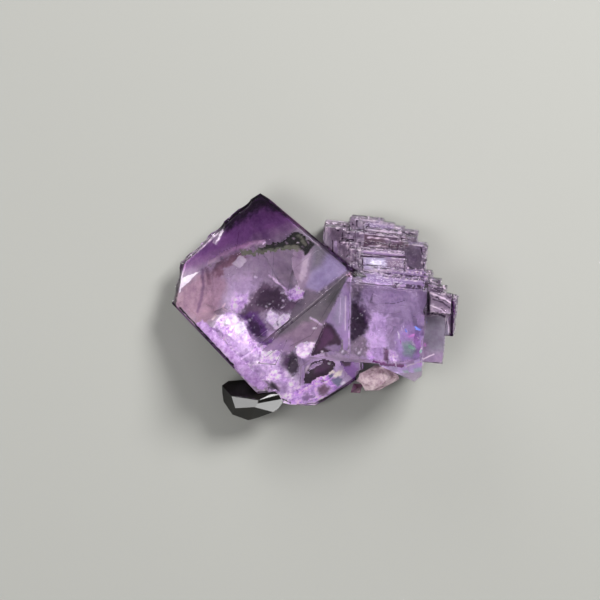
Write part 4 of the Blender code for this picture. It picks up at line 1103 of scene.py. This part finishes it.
def assign(node, mat):
    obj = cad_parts[node]
    obj.data.materials.clear()
    obj.data.materials.append(mat)


def grained(name, scale, detail, roughness, shades):
    """A shader whose colour follows a grain, and that grain."""
    shader = Shader(name)
    grain = shader.noise(shader.coords(), scale, detail, roughness)
    shader.surface("Base Color", shader.ramp(grain, shades))
    return shader, grain


def black_material():
    soot = ((0.35, (0.002, 0.002, 0.002)), (0.7, (0.006, 0.005, 0.004)))
    shader, _ = grained("black_sphalerite", 900, 5.0, 0.6, soot)
    shader.surface("Roughness", 0.06)
    shader.surface("IOR", 1.3)
    return shader.material


def brown_material():
    rust = ((0.35, (0.05, 0.018, 0.035)), (0.55, (0.10, 0.04, 0.075)), (0.7, (0.22, 0.12, 0.17)))
    shader, _ = grained("brown_sphalerite", 1500, 5.0, 0.6, rust)
    shader.surface("Roughness", 0.2)
    shader.surface("IOR", 1.5)
    return shader.material


def crumb_material():
    pale = ((0.32, (0.16, 0.08, 0.11)), (0.46, (0.38, 0.25, 0.30)), (0.6, (0.60, 0.46, 0.50)))
    shader, grain = grained("pale_matrix", 1400, 6.0, 0.65, pale)
    shader.surface("Roughness", 0.6)
    shader.bump(grain, 0.8, 0.3 * MM)
    return shader.material


# ---------------------------------------------------------------- set, in metres

FLOOR_PLACE, FLOOR_COLOUR = (0, 0, -0.00003), (0.158, 0.158, 0.146)
CAMERA_PLACE = (-0.001507, 0.000752, 0.355)
SKY_COLOUR, SKY_STRENGTH = (0.8, 0.82, 0.85), 0.25
# Lights: name, place, width, height and power.
LIGHTS = (
    ("key", (0.17, 0.18, 0.24), 0.12, 0.12, 3.3),
    ("top", (-0.12, -0.045, 0.36), 0.16, 0.16, 1.5),
    ("front", (0.20, -0.215, 0.035), 0.07, 0.05, 0.2),
    ("fill", (-0.14, 0.34, 0.16), 0.18, 0.18, 0.8),
)
LIGHT_TARGET = Vector((0, 0, 0.006))
LIGHT_BOUNCES, CLEAR_BOUNCES = 24, 16


def area(name, place, width, height, power):
    light = bpy.data.lights.new(name, "AREA")
    light.size = width
    if height != width:
        light.shape = "RECTANGLE"
        light.size_y = height
    light.energy = power
    obj = bpy.data.objects.new(name, light)
    obj.location = place
    obj.rotation_euler = (LIGHT_TARGET - Vector(place)).to_track_quat("-Z", "Y").to_euler()
    bpy.context.scene.collection.objects.link(obj)


def floor_and_camera():
    bpy.ops.mesh.primitive_plane_add(size=2.0, location=FLOOR_PLACE)
    floor = bpy.context.object
    floor.name = "floor"
    shader = Shader("floor")
    shader.surface("Base Color", FLOOR_COLOUR)
    shader.surface("Roughness", 0.8)
    floor.data.materials.append(shader.material)
    cam = bpy.data.cameras.new("camera")
    cam.lens, cam.sensor_width, cam.clip_start = 200, 36, 0.01
    camera = bpy.data.objects.new("camera", cam)
    camera.location = CAMERA_PLACE
    bpy.context.scene.collection.objects.link(camera)
    bpy.context.scene.camera = camera


def studio():
    scene = bpy.context.scene
    floor_and_camera()
    for light in LIGHTS:
        area(*light)
    scene.world = bpy.data.worlds.new("world")
    scene.world.use_nodes = True
    background = scene.world.node_tree.nodes["Background"]
    background.inputs["Color"].default_value = (*SKY_COLOUR, 1)
    background.inputs["Strength"].default_value = SKY_STRENGTH
    scene.view_settings.view_transform = "Standard"
    scene.cycles.max_bounces = scene.cycles.transmission_bounces = LIGHT_BOUNCES
    scene.cycles.transparent_max_bounces = CLEAR_BOUNCES


body = fluorite_body()
frost = druse_material()
inner_marks(body, frost)  # before the druse, whose piece hides the solid that the rays look for
frosted_druse(body, frost)
assign("black_sphalerite", black_material())
assign("brown_sphalerite", brown_material())
assign("matrix_crumb", crumb_material())
studio()
